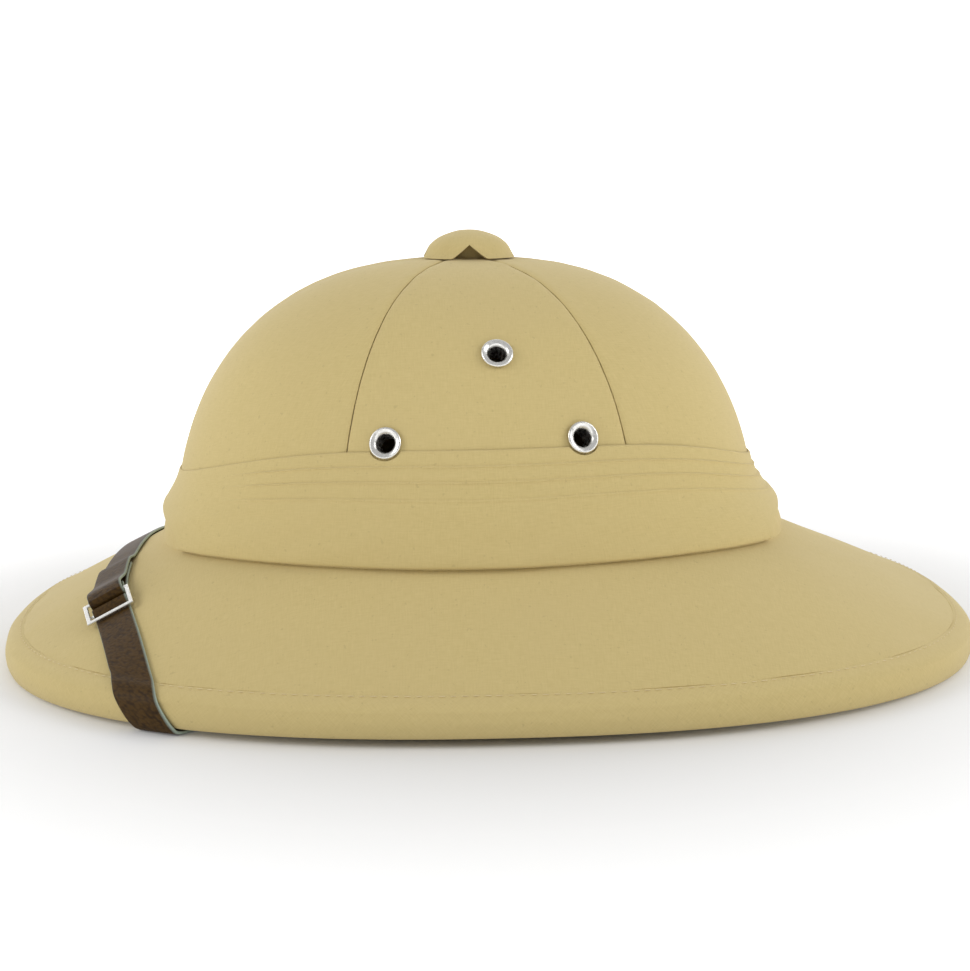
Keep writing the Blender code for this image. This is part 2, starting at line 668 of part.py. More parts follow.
def anchor_frame():
    """Left anchor on the inner wall: the strap's middle there, its direction, and its side away from the
    wall."""
    place, normal = crown_frame(ANCHOR_Z, math.radians(ANCHOR_PHI))
    along = np.cross((0.0, 0.0, 1.0), normal)
    up = np.cross(normal, along)
    run = up * 0.8 + along * 0.6
    middle = place - normal * (UNDER_HAT + ANCHOR_GAP + LEATHER / 2)
    return middle, run / np.linalg.norm(run), -normal


def hidden_stations(rim_end):
    """The hidden stretch: from the foot of the rim, back beneath the brim and up the inner wall."""
    row = rim_end[0] + rim_end[1]
    start = row[1] / 2
    heading = HIDDEN_HEADING / np.linalg.norm(HIDDEN_HEADING)
    middle, run, into_hollow = anchor_frame()
    foot = middle - run * 8 * MM
    swing = foot - run * HIDDEN_PULL[1] + into_hollow * HIDDEN_SWING
    knots = (start, start + heading * HIDDEN_PULL[0], swing, foot)
    length = np.linalg.norm(foot - start) * 1.08
    stations = []
    for share in np.linspace(0.1, 1.0, 9):
        slant = HIDDEN_SLANT * (1 - share) ** 2 / length
        lines = [hidden_point(share + across * slant, knots, across, into_hollow) for across in STRAP_ACROSS]
        stations.append([np.array([line[side] for line in lines]) for side in (0, 1)])
    across_end = stations[-1][0][2] - stations[-1][0][0]
    across_end /= np.linalg.norm(across_end)
    for reach in (8 * MM, 15 * MM):
        centre = foot + run * reach
        row = np.array([centre + across_end * across * STRAP_WIDTH for across in STRAP_ACROSS])
        stations.append([row - into_hollow * LEATHER / 2, row + into_hollow * LEATHER / 2])
    return stations


def hidden_point(share, knots, across, into_hollow):
    """Inner and outer points of a line along the strap on the hidden path."""
    rest = 1.0 - share
    weights = (rest ** 3, 3 * rest ** 2 * share, 3 * rest * share ** 2, share ** 3)
    centre = sum(weight * knot for weight, knot in zip(weights, knots))
    pull = (rest ** 2, 2 * rest * share, share ** 2)
    tangent = sum(pull[k] * (knots[k + 1] - knots[k]) for k in range(3))
    tangent /= np.linalg.norm(tangent)
    turn = smoothstep((share - 0.35) / 0.65)
    facing = np.array([0.0, 0.0, -1.0]) * (1 - turn) + into_hollow * turn
    rear = np.cross(facing, tangent)
    rear /= np.linalg.norm(rear)
    facing = np.cross(tangent, rear)
    middle = centre + rear * across * STRAP_WIDTH
    return middle - facing * LEATHER / 2, middle + facing * LEATHER / 2


def buckle_frame():
    """Frame on the brim's cloth under the buckle: along the strap, across it to the rear, and up."""
    centre, direction = strap_line(BUCKLE_X)
    foot = lay_on_brim(*centre, 0.0)
    up = Vector(lay_on_brim(*centre, MM) - foot).normalized()
    ahead = Vector(lay_on_brim(*(centre + direction * 2 * MM), 0.0) - foot)
    rear = up.cross(ahead).normalized()
    return Matrix.Translation(foot) @ Matrix((rear.cross(up), rear, up)).transposed().to_4x4()


def buckle_station(frame, ahead, height, turn=0.0):
    """Rows across the strap's two faces near the buckle, its thickness turned round its width."""
    faces = []
    for side in (-0.5, 0.5):
        u = ahead - side * LEATHER * math.sin(turn)
        w = height + side * LEATHER * math.cos(turn)
        faces.append(np.array([frame @ Vector((u, across * STRAP_WIDTH, w)) for across in STRAP_ACROSS]))
    return faces


def strap_solid(name, stations):
    """A strap through rows of points across its inner and outer faces."""
    inner, outer = (np.array([station[side] for station in stations]) for side in (0, 1))
    return sheet_solid(name, outer, inner, MATERIALS["leather"])


def build_straps():
    """Left half: from its rivet round the rim and up through the buckle, its end lying under the right
    half. Right half: from its rivet over the brim, folded back round the buckle's rear bar."""
    flat = STRAP_LIFT + LEATHER / 2
    over_bar = MIDDLE_BAR_HEIGHT + BUCKLE_BAR / 2 + 0.35 * MM + LEATHER / 2
    frame = buckle_frame()
    rim_way = wrap_stations(72 * MM)
    rim_way += hidden_stations(rim_way[-1])

    left = [strap_station(x, flat) for x in (26 * MM, 36 * MM, 46 * MM)]
    left.append(buckle_station(frame, -BUCKLE_HALF_PITCH + 1.6 * MM, flat))
    left += [buckle_station(frame, ahead, over_bar) for ahead in (-0.9 * MM, 0.9 * MM)]
    left.append(buckle_station(frame, BUCKLE_HALF_PITCH - 1.5 * MM, flat))
    left.append(strap_station(BUCKLE_X + BUCKLE_HALF_PITCH + MM, flat))
    strap_left = strap_solid("strap_left", left + rim_way)

    over_tail = flat + LEATHER + GAP
    corner = BUCKLE_BAR / 2
    round_corner = GAP + 0.1 * MM + LEATHER / 2
    under_bar = BACK_BAR_HEIGHT - corner - round_corner
    right = [buckle_station(frame, -BUCKLE_HALF_PITCH - 8 * MM, under_bar, -math.pi)]
    for quarter, turns in ((-1, (-1.0, -0.75, -0.5)), (1, (-0.5, -0.25, 0.0))):
        for turn in np.array(turns) * math.pi:
            ahead = -BUCKLE_HALF_PITCH + corner - round_corner * math.sin(turn)
            height = BACK_BAR_HEIGHT + quarter * corner + round_corner * math.cos(turn)
            right.append(buckle_station(frame, ahead, height, turn))
    right.append(buckle_station(frame, -BUCKLE_HALF_PITCH - 5 * MM, BACK_BAR_HEIGHT + corner + round_corner))
    right.append(strap_station(42 * MM, over_tail + 0.3 * MM))
    right.append(strap_station(33 * MM, over_tail))
    right.append(strap_station(24 * MM, over_tail))
    right += [strap_station(x * MM, flat) for x in (16, 4, -8, -20, -32, -45, -57, -68)]
    mirrored_way = [[face * (-1, 1, 1) for face in station] for station in rim_way]
    strap_right = strap_solid("strap_right", right + mirrored_way)
    return strap_left, strap_right


def build_rivet(name, middle, into_hollow):
    """Plain rivet: a head over the strap and a shank into the shell."""
    angle = np.linspace(0, 2 * math.pi, 12, endpoint=False)
    around = np.stack([np.cos(angle), np.sin(angle)], axis=-1)
    head = LEATHER / 2 + GAP
    foot = -(LEATHER / 2 + ANCHOR_GAP + SHELL_WALL - GAP)
    section = (
        (RIVET_HEAD_RADIUS - 1.5 * MM, head + 1.5 * MM),
        (RIVET_HEAD_RADIUS, head + 0.8 * MM),
        (RIVET_HEAD_RADIUS, head),
        (RIVET_SHANK_RADIUS, head),
        (RIVET_SHANK_RADIUS, foot),
    )
    rows = [np.concatenate([around * radius, np.full((12, 1), height)], axis=1) for radius, height in section]
    rivet = spun_solid(name, np.array(rows), MATERIALS["metal"])
    rivet.location = middle
    rivet.rotation_mode = "QUATERNION"
    rivet.rotation_quaternion = Vector(into_hollow).to_track_quat("Z", "Y")


# ---- buckle --------------------------------------------------------------------------------------------
def cell_mesh(xs, ys, zs, filled):
    """Closed surface of the filled boxes of a rectangular lattice."""
    index, points, faces = {}, [], []

    def corner(place):
        if place not in index:
            index[place] = len(points)
            points.append((xs[place[0]], ys[place[1]], zs[place[2]]))
        return index[place]

    spans = (len(xs) - 1, len(ys) - 1, len(zs) - 1)

    def solid(cell):
        inside = all(0 <= cell[axis] < spans[axis] for axis in range(3))
        return inside and filled(*cell)

    for cell in np.ndindex(*spans):
        for axis in range(3):
            for end in (0, 1):
                beyond = list(cell)
                beyond[axis] += 2 * end - 1
                if not solid(cell) or solid(beyond):
                    continue
                u, v = [other for other in range(3) if other != axis]
                quad = []
                for du, dv in ((0, 0), (1, 0), (1, 1), (0, 1)):
                    at = list(cell)
                    at[axis] += end
                    at[u] += du
                    at[v] += dv
                    quad.append(corner(tuple(at)))
                if (end == 1) == (axis == 1):
                    quad.reverse()
                faces += [(quad[0], quad[1], quad[2]), (quad[0], quad[2], quad[3])]
    return points, faces


def build_buckle():
    """Three-bar slide: a flat frame over the strap, with its middle bar dropped under the strap."""
    bar = BUCKLE_BAR
    pitch = BUCKLE_HALF_PITCH
    wide = BUCKLE_HALF_WIDTH
    drop = (FRONT_BAR_HEIGHT + BACK_BAR_HEIGHT) / 2 - MIDDLE_BAR_HEIGHT
    lengths = (-pitch - bar / 2, -pitch + bar / 2, -bar / 2, bar / 2, pitch - bar / 2, pitch + bar / 2)
    widths = (-wide, -wide + bar, wide - bar, wide)
    levels = (-drop - bar / 2, -drop + bar / 2, -bar / 2, bar / 2)

    def filled(i, j, k):
        if k == 2:
            return j != 1 or i in (0, 4)
        if k == 1:
            return i == 2 and j != 1
        return i == 2

    points, faces = cell_mesh(lengths, widths, levels, filled)
    buckle = add_solid("buckle", points, faces, MATERIALS["metal"], 30.0)
    rounding = buckle.modifiers.new("rounding", "BEVEL")
    rounding.width = 0.25 * MM
    rounding.segments = 1
    rounding.limit_method = "ANGLE"
    rounding.angle_limit = math.radians(60)

    middle = Matrix.Translation((0.0, 0.0, (FRONT_BAR_HEIGHT + BACK_BAR_HEIGHT) / 2))
    pitch_angle = math.atan2(BACK_BAR_HEIGHT - FRONT_BAR_HEIGHT, 2 * pitch)
    buckle.matrix_world = buckle_frame() @ middle @ Matrix.Rotation(pitch_angle, 4, "Y")


# ---- assembly ------------------------------------------------------------------------------------------
def clear_scene():
    for thing in list(bpy.data.objects):
        bpy.data.objects.remove(thing)


def main():
    skin = skin_rows()
    shell = build_shell(skin)
    gores = build_gores(skin)
    build_brim_cover(skin)
    build_rim_binding()
    band = build_puggaree()
    build_vent_cap()
    eyelets = build_eyelets()
    straps = build_straps()
    build_buckle()

    shell_holes = [(*place, EYELET_BARREL + GAP, 12 * MM) for place in eyelets.values()]
    for side, gore in (("left", gores[1]), ("right", gores[4])):
        drill(gore, [(*eyelets[side, place], EYELET_BARREL + GAP, 4 * MM) for place in EYELETS])
    low_eyelets = [place for (_, name), place in eyelets.items() if name != "top"]
    drill(band, [(*place, EYELET_RADIUS + GAP, 6 * MM) for place in low_eyelets])

    for side, strap, sign in (("left", straps[0], 1), ("right", straps[1], -1)):
        middle, _, into_hollow = anchor_frame()
        middle, into_hollow = middle * (sign, 1, 1), into_hollow * (sign, 1, 1)
        drill(strap, [(middle, into_hollow, RIVET_HOLE_RADIUS, 3 * MM)])
        shell_holes.append((middle, into_hollow, RIVET_HOLE_RADIUS, 9 * MM))
        build_rivet(f"strap_rivet_{side}", middle, into_hollow)
    drill(shell, shell_holes)


clear_scene()
MATERIALS = {
    "shell": make_material("moulded_shell", (0.50, 0.41, 0.28), 0.85),
    "cloth": make_material("khaki_cloth", (0.63, 0.50, 0.28), 0.80),
    "leather": make_material("brown_leather", (0.06, 0.035, 0.02), 0.45),
    "metal": make_material("bright_metal", (0.75, 0.75, 0.73), 0.25, 1.0),
}
main()
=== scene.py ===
"""A cloth-covered pith helmet with its chin strap worn up over the brim: its looks, camera and light."""

import math

import bpy
import numpy as np
from mathutils import Matrix, Vector


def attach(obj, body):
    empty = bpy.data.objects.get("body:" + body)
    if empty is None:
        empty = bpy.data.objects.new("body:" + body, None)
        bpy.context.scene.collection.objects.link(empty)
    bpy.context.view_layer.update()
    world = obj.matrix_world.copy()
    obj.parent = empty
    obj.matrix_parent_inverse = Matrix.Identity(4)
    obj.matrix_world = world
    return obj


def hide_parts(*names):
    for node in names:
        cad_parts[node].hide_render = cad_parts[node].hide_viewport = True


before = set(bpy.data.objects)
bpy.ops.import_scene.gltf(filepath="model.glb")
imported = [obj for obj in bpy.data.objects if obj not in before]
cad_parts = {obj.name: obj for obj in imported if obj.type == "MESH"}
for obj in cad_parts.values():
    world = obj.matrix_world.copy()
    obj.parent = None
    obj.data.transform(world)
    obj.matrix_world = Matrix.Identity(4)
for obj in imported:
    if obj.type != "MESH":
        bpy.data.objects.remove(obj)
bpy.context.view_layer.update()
MM = 0.001

# ---- moulded shell -------------------------------------------------------------------------------------
# The stiff crown and brim, pressed in one piece from layers of fibre glued in a mould. It carries all the
# cloth, and it shows only from underneath and through the eyelets.
HAT_LENGTH = 345 * MM
HAT_WIDTH = 276 * MM
RIM_WIDEST_Y = 0.6 * MM
RIM_FULLNESS = 2.34                # 2 would be an ellipse
RIM_LIFT = 2.6 * MM                # the sides of the rim stand clear of the table
RIM_REST_SHARE = 0.93              # where along the half length that lift ends
CROWN_CENTRE_Y = -7.6 * MM
CROWN_TOP_Z = 136.4 * MM
CROWN_FOOT_Z = 42 * MM
CROWN_HALF_LENGTH = 104.3 * MM
CROWN_HALF_WIDTH = 89.7 * MM
CROWN_RISE = 2.04                  # exponents of the dome's profile
CROWN_FULLNESS = 2.56
FLARE_TOP_Z = 62 * MM              # the wall swells outwards from here down to the brim
FLARE_FOOT_Z = 40 * MM
FLARE_FRONT = 5.2 * MM
FLARE_BACK = 10.3 * MM
FLARE_SIDE = 1.7 * MM
BRIM_ROOT_Z_SIDE = 43.2 * MM
BRIM_ROOT_Z_ENDS = 37.5 * MM
CREASE_INSET = 6.3 * MM            # the brim's cloth meets the rim's binding here
CREASE_HEIGHT = 12.1 * MM
CLOTH = 1.0 * MM
GAP = 0.3 * MM
SHELL_WALL = 4.0 * MM
POST_HOLE = 4.4 * MM               # radius of the hole for the vent cap's post
VENT_SETBACK = 2.0 * MM            # the vent cap stands this far behind the crown's centre
COLUMNS = 288                      # round the hat
PHI = np.linspace(0, 2 * math.pi, COLUMNS, endpoint=False)   # from the front, towards the wearer's left


def smoothstep(value):
    value = np.clip(value, 0.0, 1.0)
    return value * value * (3.0 - 2.0 * value)


def crown_point(z, phi, out=0.0):
    """Cloth surface of the crown and its wall at a height and an angle from the front."""
    share = np.clip((z - CROWN_FOOT_Z) / (CROWN_TOP_Z - CROWN_FOOT_Z), 0.0, 1.0)
    half = np.clip(1 - share ** CROWN_RISE, 0.0, 1.0) ** (1 / CROWN_FULLNESS)
    swell = smoothstep((FLARE_TOP_Z - z) / (FLARE_TOP_Z - FLARE_FOOT_Z))
    half_length = CROWN_HALF_LENGTH * half + np.where(np.cos(phi) > 0, FLARE_FRONT, FLARE_BACK) * swell + out
    half_width = CROWN_HALF_WIDTH * half + FLARE_SIDE * swell + out
    return np.stack([half_width * np.sin(phi), CROWN_CENTRE_Y - half_length * np.cos(phi), z + 0 * phi], -1)


def dome_height(radius):
    """Height on the dome where its half length has shrunk to a radius."""
    share = (1 - (radius / CROWN_HALF_LENGTH) ** CROWN_FULLNESS) ** (1 / CROWN_RISE)
    return CROWN_FOOT_Z + (CROWN_TOP_Z - CROWN_FOOT_Z) * share


def rim_plan(phi, inset=0.0):
    """Plan curve of the rim, or of a line inset from it."""
    sine, cosine = np.sin(phi), np.cos(phi)
    half_length = HAT_LENGTH / 2 + RIM_WIDEST_Y * np.where(cosine > 0, 1, -1) - inset
    x = (HAT_WIDTH / 2 - inset) * np.sign(sine) * np.abs(sine) ** (2 / RIM_FULLNESS)
    y = RIM_WIDEST_Y - half_length * np.sign(cosine) * np.abs(cosine) ** (2 / RIM_FULLNESS)
    return np.stack([x, y], -1)


def rim_lift(y):
    """Height of the rim's foot above the table."""
    reach = (HAT_LENGTH / 2 + RIM_WIDEST_Y * np.where(y < RIM_WIDEST_Y, 1, -1)) * RIM_REST_SHARE
    return RIM_LIFT * np.clip(1 - (np.abs(y - RIM_WIDEST_Y) / reach) ** 3, 0.0, 1.0)


def brim_point(share, phi):
    """Cloth surface of the brim, from its root at the wall (0) to the crease at the rim (1)."""
    root_z = BRIM_ROOT_Z_SIDE + (BRIM_ROOT_Z_ENDS - BRIM_ROOT_Z_SIDE) * np.cos(phi) ** 4
    root = crown_point(root_z, phi)
    plan = rim_plan(phi, CREASE_INSET)
    crease = np.concatenate([plan, (CREASE_HEIGHT + rim_lift(plan[..., 1]))[..., None]], -1)
    return root + (crease - root) * share


def smooth_path(points, steps, closed=False):
    """A soft line through points of any size, with so many steps between each two."""
    points = np.asarray(points, float)
    if closed:
        before, here, there, beyond = (np.roll(points, -k, 0) for k in (-1, 0, 1, 2))
    else:
        ends = np.concatenate([[2 * points[0] - points[1]], points, [2 * points[-1] - points[-2]]])
        before, here, there, beyond = ends[:-3], ends[1:-2], ends[2:-1], ends[3:]
    t = (np.arange(steps) / steps).reshape(-1, *[1] * (points.ndim - 1))
    line = []
    for a, b, c, d in zip(before, here, there, beyond):
        line.append(b + (c - a) * t / 2 + (a - 2.5 * b + 2 * c - d / 2) * t ** 2
                    + (1.5 * (b - c) + (d - a) / 2) * t ** 3)
    line = np.concatenate(line)
    return line if closed else np.concatenate([line, points[-1:]])


def lengths(vectors):
    return np.linalg.norm(vectors, axis=-1)


def unit(vectors):
    return vectors / lengths(vectors)[..., None]


def mitred(flats):
    """Directions at the corners between flats, lengthened to keep a step's distance from both flats."""
    before = np.concatenate([flats[:1], flats])
    after = np.concatenate([flats, flats[-1:]])
    middle = unit(before + after)
    return middle / (middle * after).sum(-1, keepdims=True)


def inward(grid, distance):
    """A grid moved into the hat along its own normals."""
    along = np.roll(grid, -1, 1) - np.roll(grid, 1, 1)
    flats = unit(np.cross(np.diff(grid, axis=0), (along[:-1] + along[1:]) / 2))
    flats *= np.sign(((grid[:-1] - (0.0, CROWN_CENTRE_Y, 0.0)) * flats).sum(2))[:, :, None]
    return grid - mitred(flats) * distance


def grid_quads(rows, columns, close_rows, close_columns):
    i, j = np.meshgrid(np.arange(rows - (not close_rows)), np.arange(columns - (not close_columns)),
                       indexing="ij")
    low, right = (i + 1) % rows, (j + 1) % columns
    quads = np.stack([i * columns + j, i * columns + right, low * columns + right, low * columns + j], -1)
    return quads.reshape(-1, 4)


def add_object(name, data):
    thing = bpy.data.objects.new(name, data)
    bpy.context.scene.collection.objects.link(thing)
    return thing


def make_piece(name, points, faces, material, thread=None, sharp_angle=45.0):
    """One closed body, faces out. thread holds each point's place on the flat cloth or hide, in metres."""
    points = np.asarray(points, float).reshape(-1, 3)
    faces = [tuple(face) for face in np.asarray(faces, dtype=object).tolist()]
    a, b, c, d = (points[[face[k] for face in faces]] for k in (0, 1, 2, -1))
    if (a * np.cross(b, c)).sum() + (a * np.cross(c, d)).sum() < 0:
        faces = [face[::-1] for face in faces]
    mesh = bpy.data.meshes.new(name)
    mesh.from_pydata(points.tolist(), [], faces)
    mesh.shade_smooth()
    mesh.set_sharp_from_angle(angle=math.radians(sharp_angle))
    mesh.materials.append(material)
    if thread is not None:
        corners = np.empty(len(mesh.loops), int)
        mesh.loops.foreach_get("vertex_index", corners)
        layer = mesh.uv_layers.new(name="thread")
        layer.uv.foreach_set("vector", np.asarray(thread, np.float32).reshape(-1, 2)[corners].ravel())
    return add_object(name, mesh)


def make_ring(name, grid, material, thread=None, sharp_angle=45.0):
    """One closed body through rows of points that close on themselves both ways."""
    faces = grid_quads(*grid.shape[:2], True, True)
    return make_piece(name, grid, faces, material, thread, sharp_angle)


def turned(section, sides):
    """Rings round the upright axis through a section given as radius and height."""
    angle = np.linspace(0, 2 * math.pi, sides, endpoint=False)
    return np.array([np.stack([radius * np.cos(angle), radius * np.sin(angle), height + 0 * angle], 1)
                     for radius, height in section])


def turn_to(axis):
    """The turn that brings the upright axis onto another one."""
    return np.array(Vector(axis).to_track_quat("Z", "Y").to_matrix())


def apply_modifiers(piece):
    """Makes what its modifiers show the piece's own mesh."""
    bpy.context.view_layer.update()
    evaluated = piece.evaluated_get(bpy.context.evaluated_depsgraph_get())
    shown = bpy.data.meshes.new_from_object(evaluated)
    piece.modifiers.clear()
    piece.data = shown


def drill(piece, holes, sides=48):
    """Cuts round holes: each is a centre, an axis, a radius and half a length."""
    points, faces = [], []
    for centre, axis, radius, half_length in holes:
        start = len(points)
        turn = turn_to(axis)
        peg = turned(((radius, half_length), (radius, -half_length)), sides)
        points += [centre + turn @ point for point in peg.reshape(-1, 3)]
        faces += [(start + j, start + sides + j, start + sides + (j + 1) % sides, start + (j + 1) % sides)
                  for j in range(sides)]
        faces.append(tuple(range(start, start + sides)))
        faces.append(tuple(range(start + 2 * sides - 1, start + sides - 1, -1)))
    mesh = bpy.data.meshes.new("pegs")
    mesh.from_pydata([tuple(point) for point in points], [], faces)
    pegs = add_object("pegs", mesh)
    cut = piece.modifiers.new("holes", "BOOLEAN")
    cut.operation = "DIFFERENCE"
    cut.solver = "EXACT"
    cut.object = pegs
    apply_modifiers(piece)
    bpy.data.objects.remove(pegs)


def add_node(tree, kind, inputs=None, **settings):
    """A shader node. An input is given a value, or a socket to be linked from."""
    node = tree.nodes.new(kind)
    for name, value in settings.items():
        setattr(node, name, value)
    for name, value in (inputs or {}).items():
        if isinstance(value, bpy.types.NodeSocket):
            tree.links.new(value, node.inputs[name])
        else:
            node.inputs[name].default_value = value
    return node


def blend_colours(tree, share, first, second):
    return add_node(tree, "ShaderNodeMix", {0: share, 6: first, 7: second}, data_type="RGBA").outputs[2]


def noise(tree, where, scale, detail):
    node = add_node(tree, "ShaderNodeTexNoise", {"Vector": where, "Scale": scale, "Detail": detail})
    return node.outputs["Fac"]


def emboss(tree, shader, height, strength, distance, invert=False):
    """Gives a surface a fine relief from a height."""
    relief = {"Height": height, "Strength": strength, "Distance": distance}
    bump = add_node(tree, "ShaderNodeBump", relief, invert=invert)
    tree.links.new(bump.outputs[0], shader.inputs["Normal"])


def start_material(name, roughness, metallic=0.0):
    material = bpy.data.materials.new(name)
    material.use_nodes = True
    tree = material.node_tree
    shader = tree.nodes["Principled BSDF"]
    shader.inputs["Roughness"].default_value = roughness
    shader.inputs["Metallic"].default_value = metallic
    return material, tree, shader


def make_fibre():
    """Pressed fibre: a dull buff board with long pale strands in it."""
    material, tree, shader = start_material("pressed_fibre", 0.85)
    place = add_node(tree, "ShaderNodeTexCoord").outputs["Object"]
    clouds = noise(tree, place, 90.0, 5.0)
    stretched = add_node(tree, "ShaderNodeMapping", {"Vector": place, "Scale": (900.0, 120.0, 900.0)})
    strands = noise(tree, stretched.outputs[0], 1.0, 3.0)
    colour = blend_colours(tree, clouds, (0.36, 0.27, 0.16, 1), (0.52, 0.42, 0.27, 1))
    colour = blend_colours(tree, strands, colour, (0.5, 0.41, 0.28, 1))
    tree.links.new(colour, shader.inputs["Base Color"])
    emboss(tree, shader, strands, 0.3, 0.0003)
    return material


FIBRE = make_fibre()
RIM_OUTLINE = np.array([           # rim's outer section from the crease round the edge: inset, height
    (6.3, 12.1), (3.0, 10.6), (0.7, 8.2), (0.0, 5.0), (0.5, 1.6), (2.2, 0.0), (8.6, 0.0),
]) * MM
BINDING_CLOTH = 1.2 * MM
BEAD_GAP = 0.35 * MM               # between the shell's bead and the binding
BEAD_TOP = (7.7 * MM, 10.6 * MM)   # the bead's first and last corners: inset, height
BEAD_FOOT = (10.9 * MM, 3.4 * MM)
WALL_STEPS = 13                    # rows down the flared wall


def section_normals(outline):
    run = np.diff(outline, axis=0)
    return mitred(unit(np.stack([run[:, 1], -run[:, 0]], -1)))


def rim_rows(section):
    """Rows of a section given as inset and height, swept round the rim."""
    foot = rim_lift(rim_plan(PHI)[:, 1])
    return np.array([np.concatenate([rim_plan(PHI, inset), (height + foot)[:, None]], 1)
                     for inset, height in section])


def skin_rows(top_radius, dome_rows, brim_rows):
    """Rows of the outer cloth surface from a ring round the top down the dome and the brim to the crease."""
    rise = CROWN_TOP_Z - CROWN_FOOT_Z
    root_z = brim_point(0.0, PHI)[:, 2]
    top_turn = math.asin((dome_height(top_radius) - CROWN_FOOT_Z) / rise)
    wall_turn = math.asin((FLARE_TOP_Z - CROWN_FOOT_Z) / rise)
    rows = [crown_point(CROWN_FOOT_Z + rise * math.sin(turn), PHI)
            for turn in np.linspace(top_turn, wall_turn, dome_rows)]
    rows += [crown_point(FLARE_TOP_Z + (root_z - FLARE_TOP_Z) * step / WALL_STEPS, PHI)
             for step in range(1, WALL_STEPS + 1)]
    rows += [brim_point(step / brim_rows, PHI) for step in range(1, brim_rows + 1)]
    return np.array(rows)


# Eyelets on the left side: place along Y from the crown's centre, and height. The right side mirrors it.
EYELETS = {"front": (-27.1 * MM, 82.1 * MM), "top": (8.9 * MM, 108.6 * MM), "back": (35.5 * MM, 82.5 * MM)}
EYELET_BARREL = 3.3 * MM           # radius


def crown_frame(z, phi):
    """Point and outward normal of the crown's cloth on the left side."""
    z, phi = np.array(z), np.array(phi)
    along = crown_point(z, phi + 0.01) - crown_point(z, phi - 0.01)
    up = crown_point(z + 0.5 * MM, phi) - crown_point(z - 0.5 * MM, phi)
    normal = np.cross(along, up)
    return crown_point(z, phi), unit(normal * np.sign(normal[0]))


eyelet_places = {}
for side, sign in (("left", 1), ("right", -1)):
    for place, (y_from_centre, z) in EYELETS.items():
        half_length = CROWN_CENTRE_Y - crown_point(np.array(z), np.array(0.0))[1]
        centre, normal = crown_frame(z, math.acos(-y_from_centre / half_length))
        eyelet_places[side, place] = (centre * (sign, 1, 1), normal * (sign, 1, 1))

ANCHOR_Z = 55 * MM                 # the strap's hidden rivets, inside the crown wall
ANCHOR_PHI = math.radians(78.0)
ANCHOR_GAP = 1.6 * MM              # between the wall and the strap
ANCHOR_HOLE = 1.8 * MM             # radius
LEATHER_THICKNESS = 1.1 * MM
UNDER_HAT = CLOTH + GAP + SHELL_WALL


def anchor_frame():
    """Left anchor: the strap's middle there, its direction, and its side away from the wall."""
    place, normal = crown_frame(ANCHOR_Z, ANCHOR_PHI)
    along = np.cross((0.0, 0.0, 1.0), normal)
    run = np.cross(normal, along) * 0.8 + along * 0.6     # up the wall, leaning back
    middle = place - normal * (UNDER_HAT + ANCHOR_GAP + LEATHER_THICKNESS / 2)
    return middle, unit(run), -normal


anchors = {}
for side, sign in (("left", 1), ("right", -1)):
    middle, _, into_hollow = anchor_frame()
    anchors[side] = (middle * (sign, 1, 1), into_hollow * (sign, 1, 1))

shell_skin = skin_rows(POST_HOLE, dome_rows=40, brim_rows=12)
post_ring = np.stack([np.sin(PHI), -np.cos(PHI)], -1) * POST_HOLE + (0, CROWN_CENTRE_Y + VENT_SETBACK)
outside = inward(shell_skin, CLOTH + GAP)[:-1]
inside = inward(shell_skin, UNDER_HAT)
outside[0, :, :2] = post_ring
inside[0, :, :2] = post_ring
bead_line = smooth_path(RIM_OUTLINE - section_normals(RIM_OUTLINE) * (BINDING_CLOTH + BEAD_GAP), 3)
bead = rim_rows(np.concatenate([[BEAD_TOP], bead_line[1:], [BEAD_FOOT]]))
shell_grid = np.concatenate([outside, bead, inside[::-1]])
shell = make_ring("moulded_shell", shell_grid, FIBRE)
shell_holes = [(*place, EYELET_BARREL + GAP, 3 * SHELL_WALL) for place in eyelet_places.values()]
shell_holes += [(*anchor, ANCHOR_HOLE, 9 * MM) for anchor in anchors.values()]
drill(shell, shell_holes, sides=32)
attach(shell, "root")
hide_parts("shell")

# ---- crown gores ---------------------------------------------------------------------------------------
# Six gores of khaki cotton drill, seamed edge to edge with the allowances pressed open beneath, pulled
# tight over the shell. Each seam lies in a shallow valley between two low ridges.
GORE_EDGES = np.radians((0.0, 66.0, 121.0, 180.0, 239.0, 294.0, 360.0))
GORE_TOP_RADIUS = 11.0 * MM        # the gores end round the vent cap's foot
GORE_ROWS = 84
SEAM_GAP = 0.2 * MM
SEAM_COLUMNS = np.array((0.0, 0.25, 0.6, 1.1, 1.9, 3.2)) * MM   # distance from the seam
VALLEY_DEPTH = 0.45 * MM           # the valley in which a seam lies
VALLEY_WIDTH = 0.8 * MM
RIDGE_HEIGHT = 0.12 * MM           # the ridges beside it, over the pressed allowances
RIDGE_WIDTH = 2.2 * MM
RIDGE_FROM_SEAM = 3.0 * MM
PUCKER_HEIGHT = 0.10 * MM          # small puckers along the seams
PUCKER_LENGTH = 9 * MM
PUCKER_REACH = 5 * MM
SLACK_HEIGHT = 0.16 * MM           # soft unevenness away from the seams
SLACK_LENGTH = 38 * MM
SLACK_START = 9 * MM
BAND_TOP_Z = 80.3 * MM
BAND_DIP_FRONT = 17.2 * MM
BAND_DIP_BACK = 14.5 * MM
BAND_OVERLAP = 6 * MM              # the gores run down behind the band


def band_top(phi):
    ends = np.abs(np.cos(phi))
    return BAND_TOP_Z - np.where(np.cos(phi) > 0, BAND_DIP_FRONT * ends ** 3, BAND_DIP_BACK * ends ** 4)


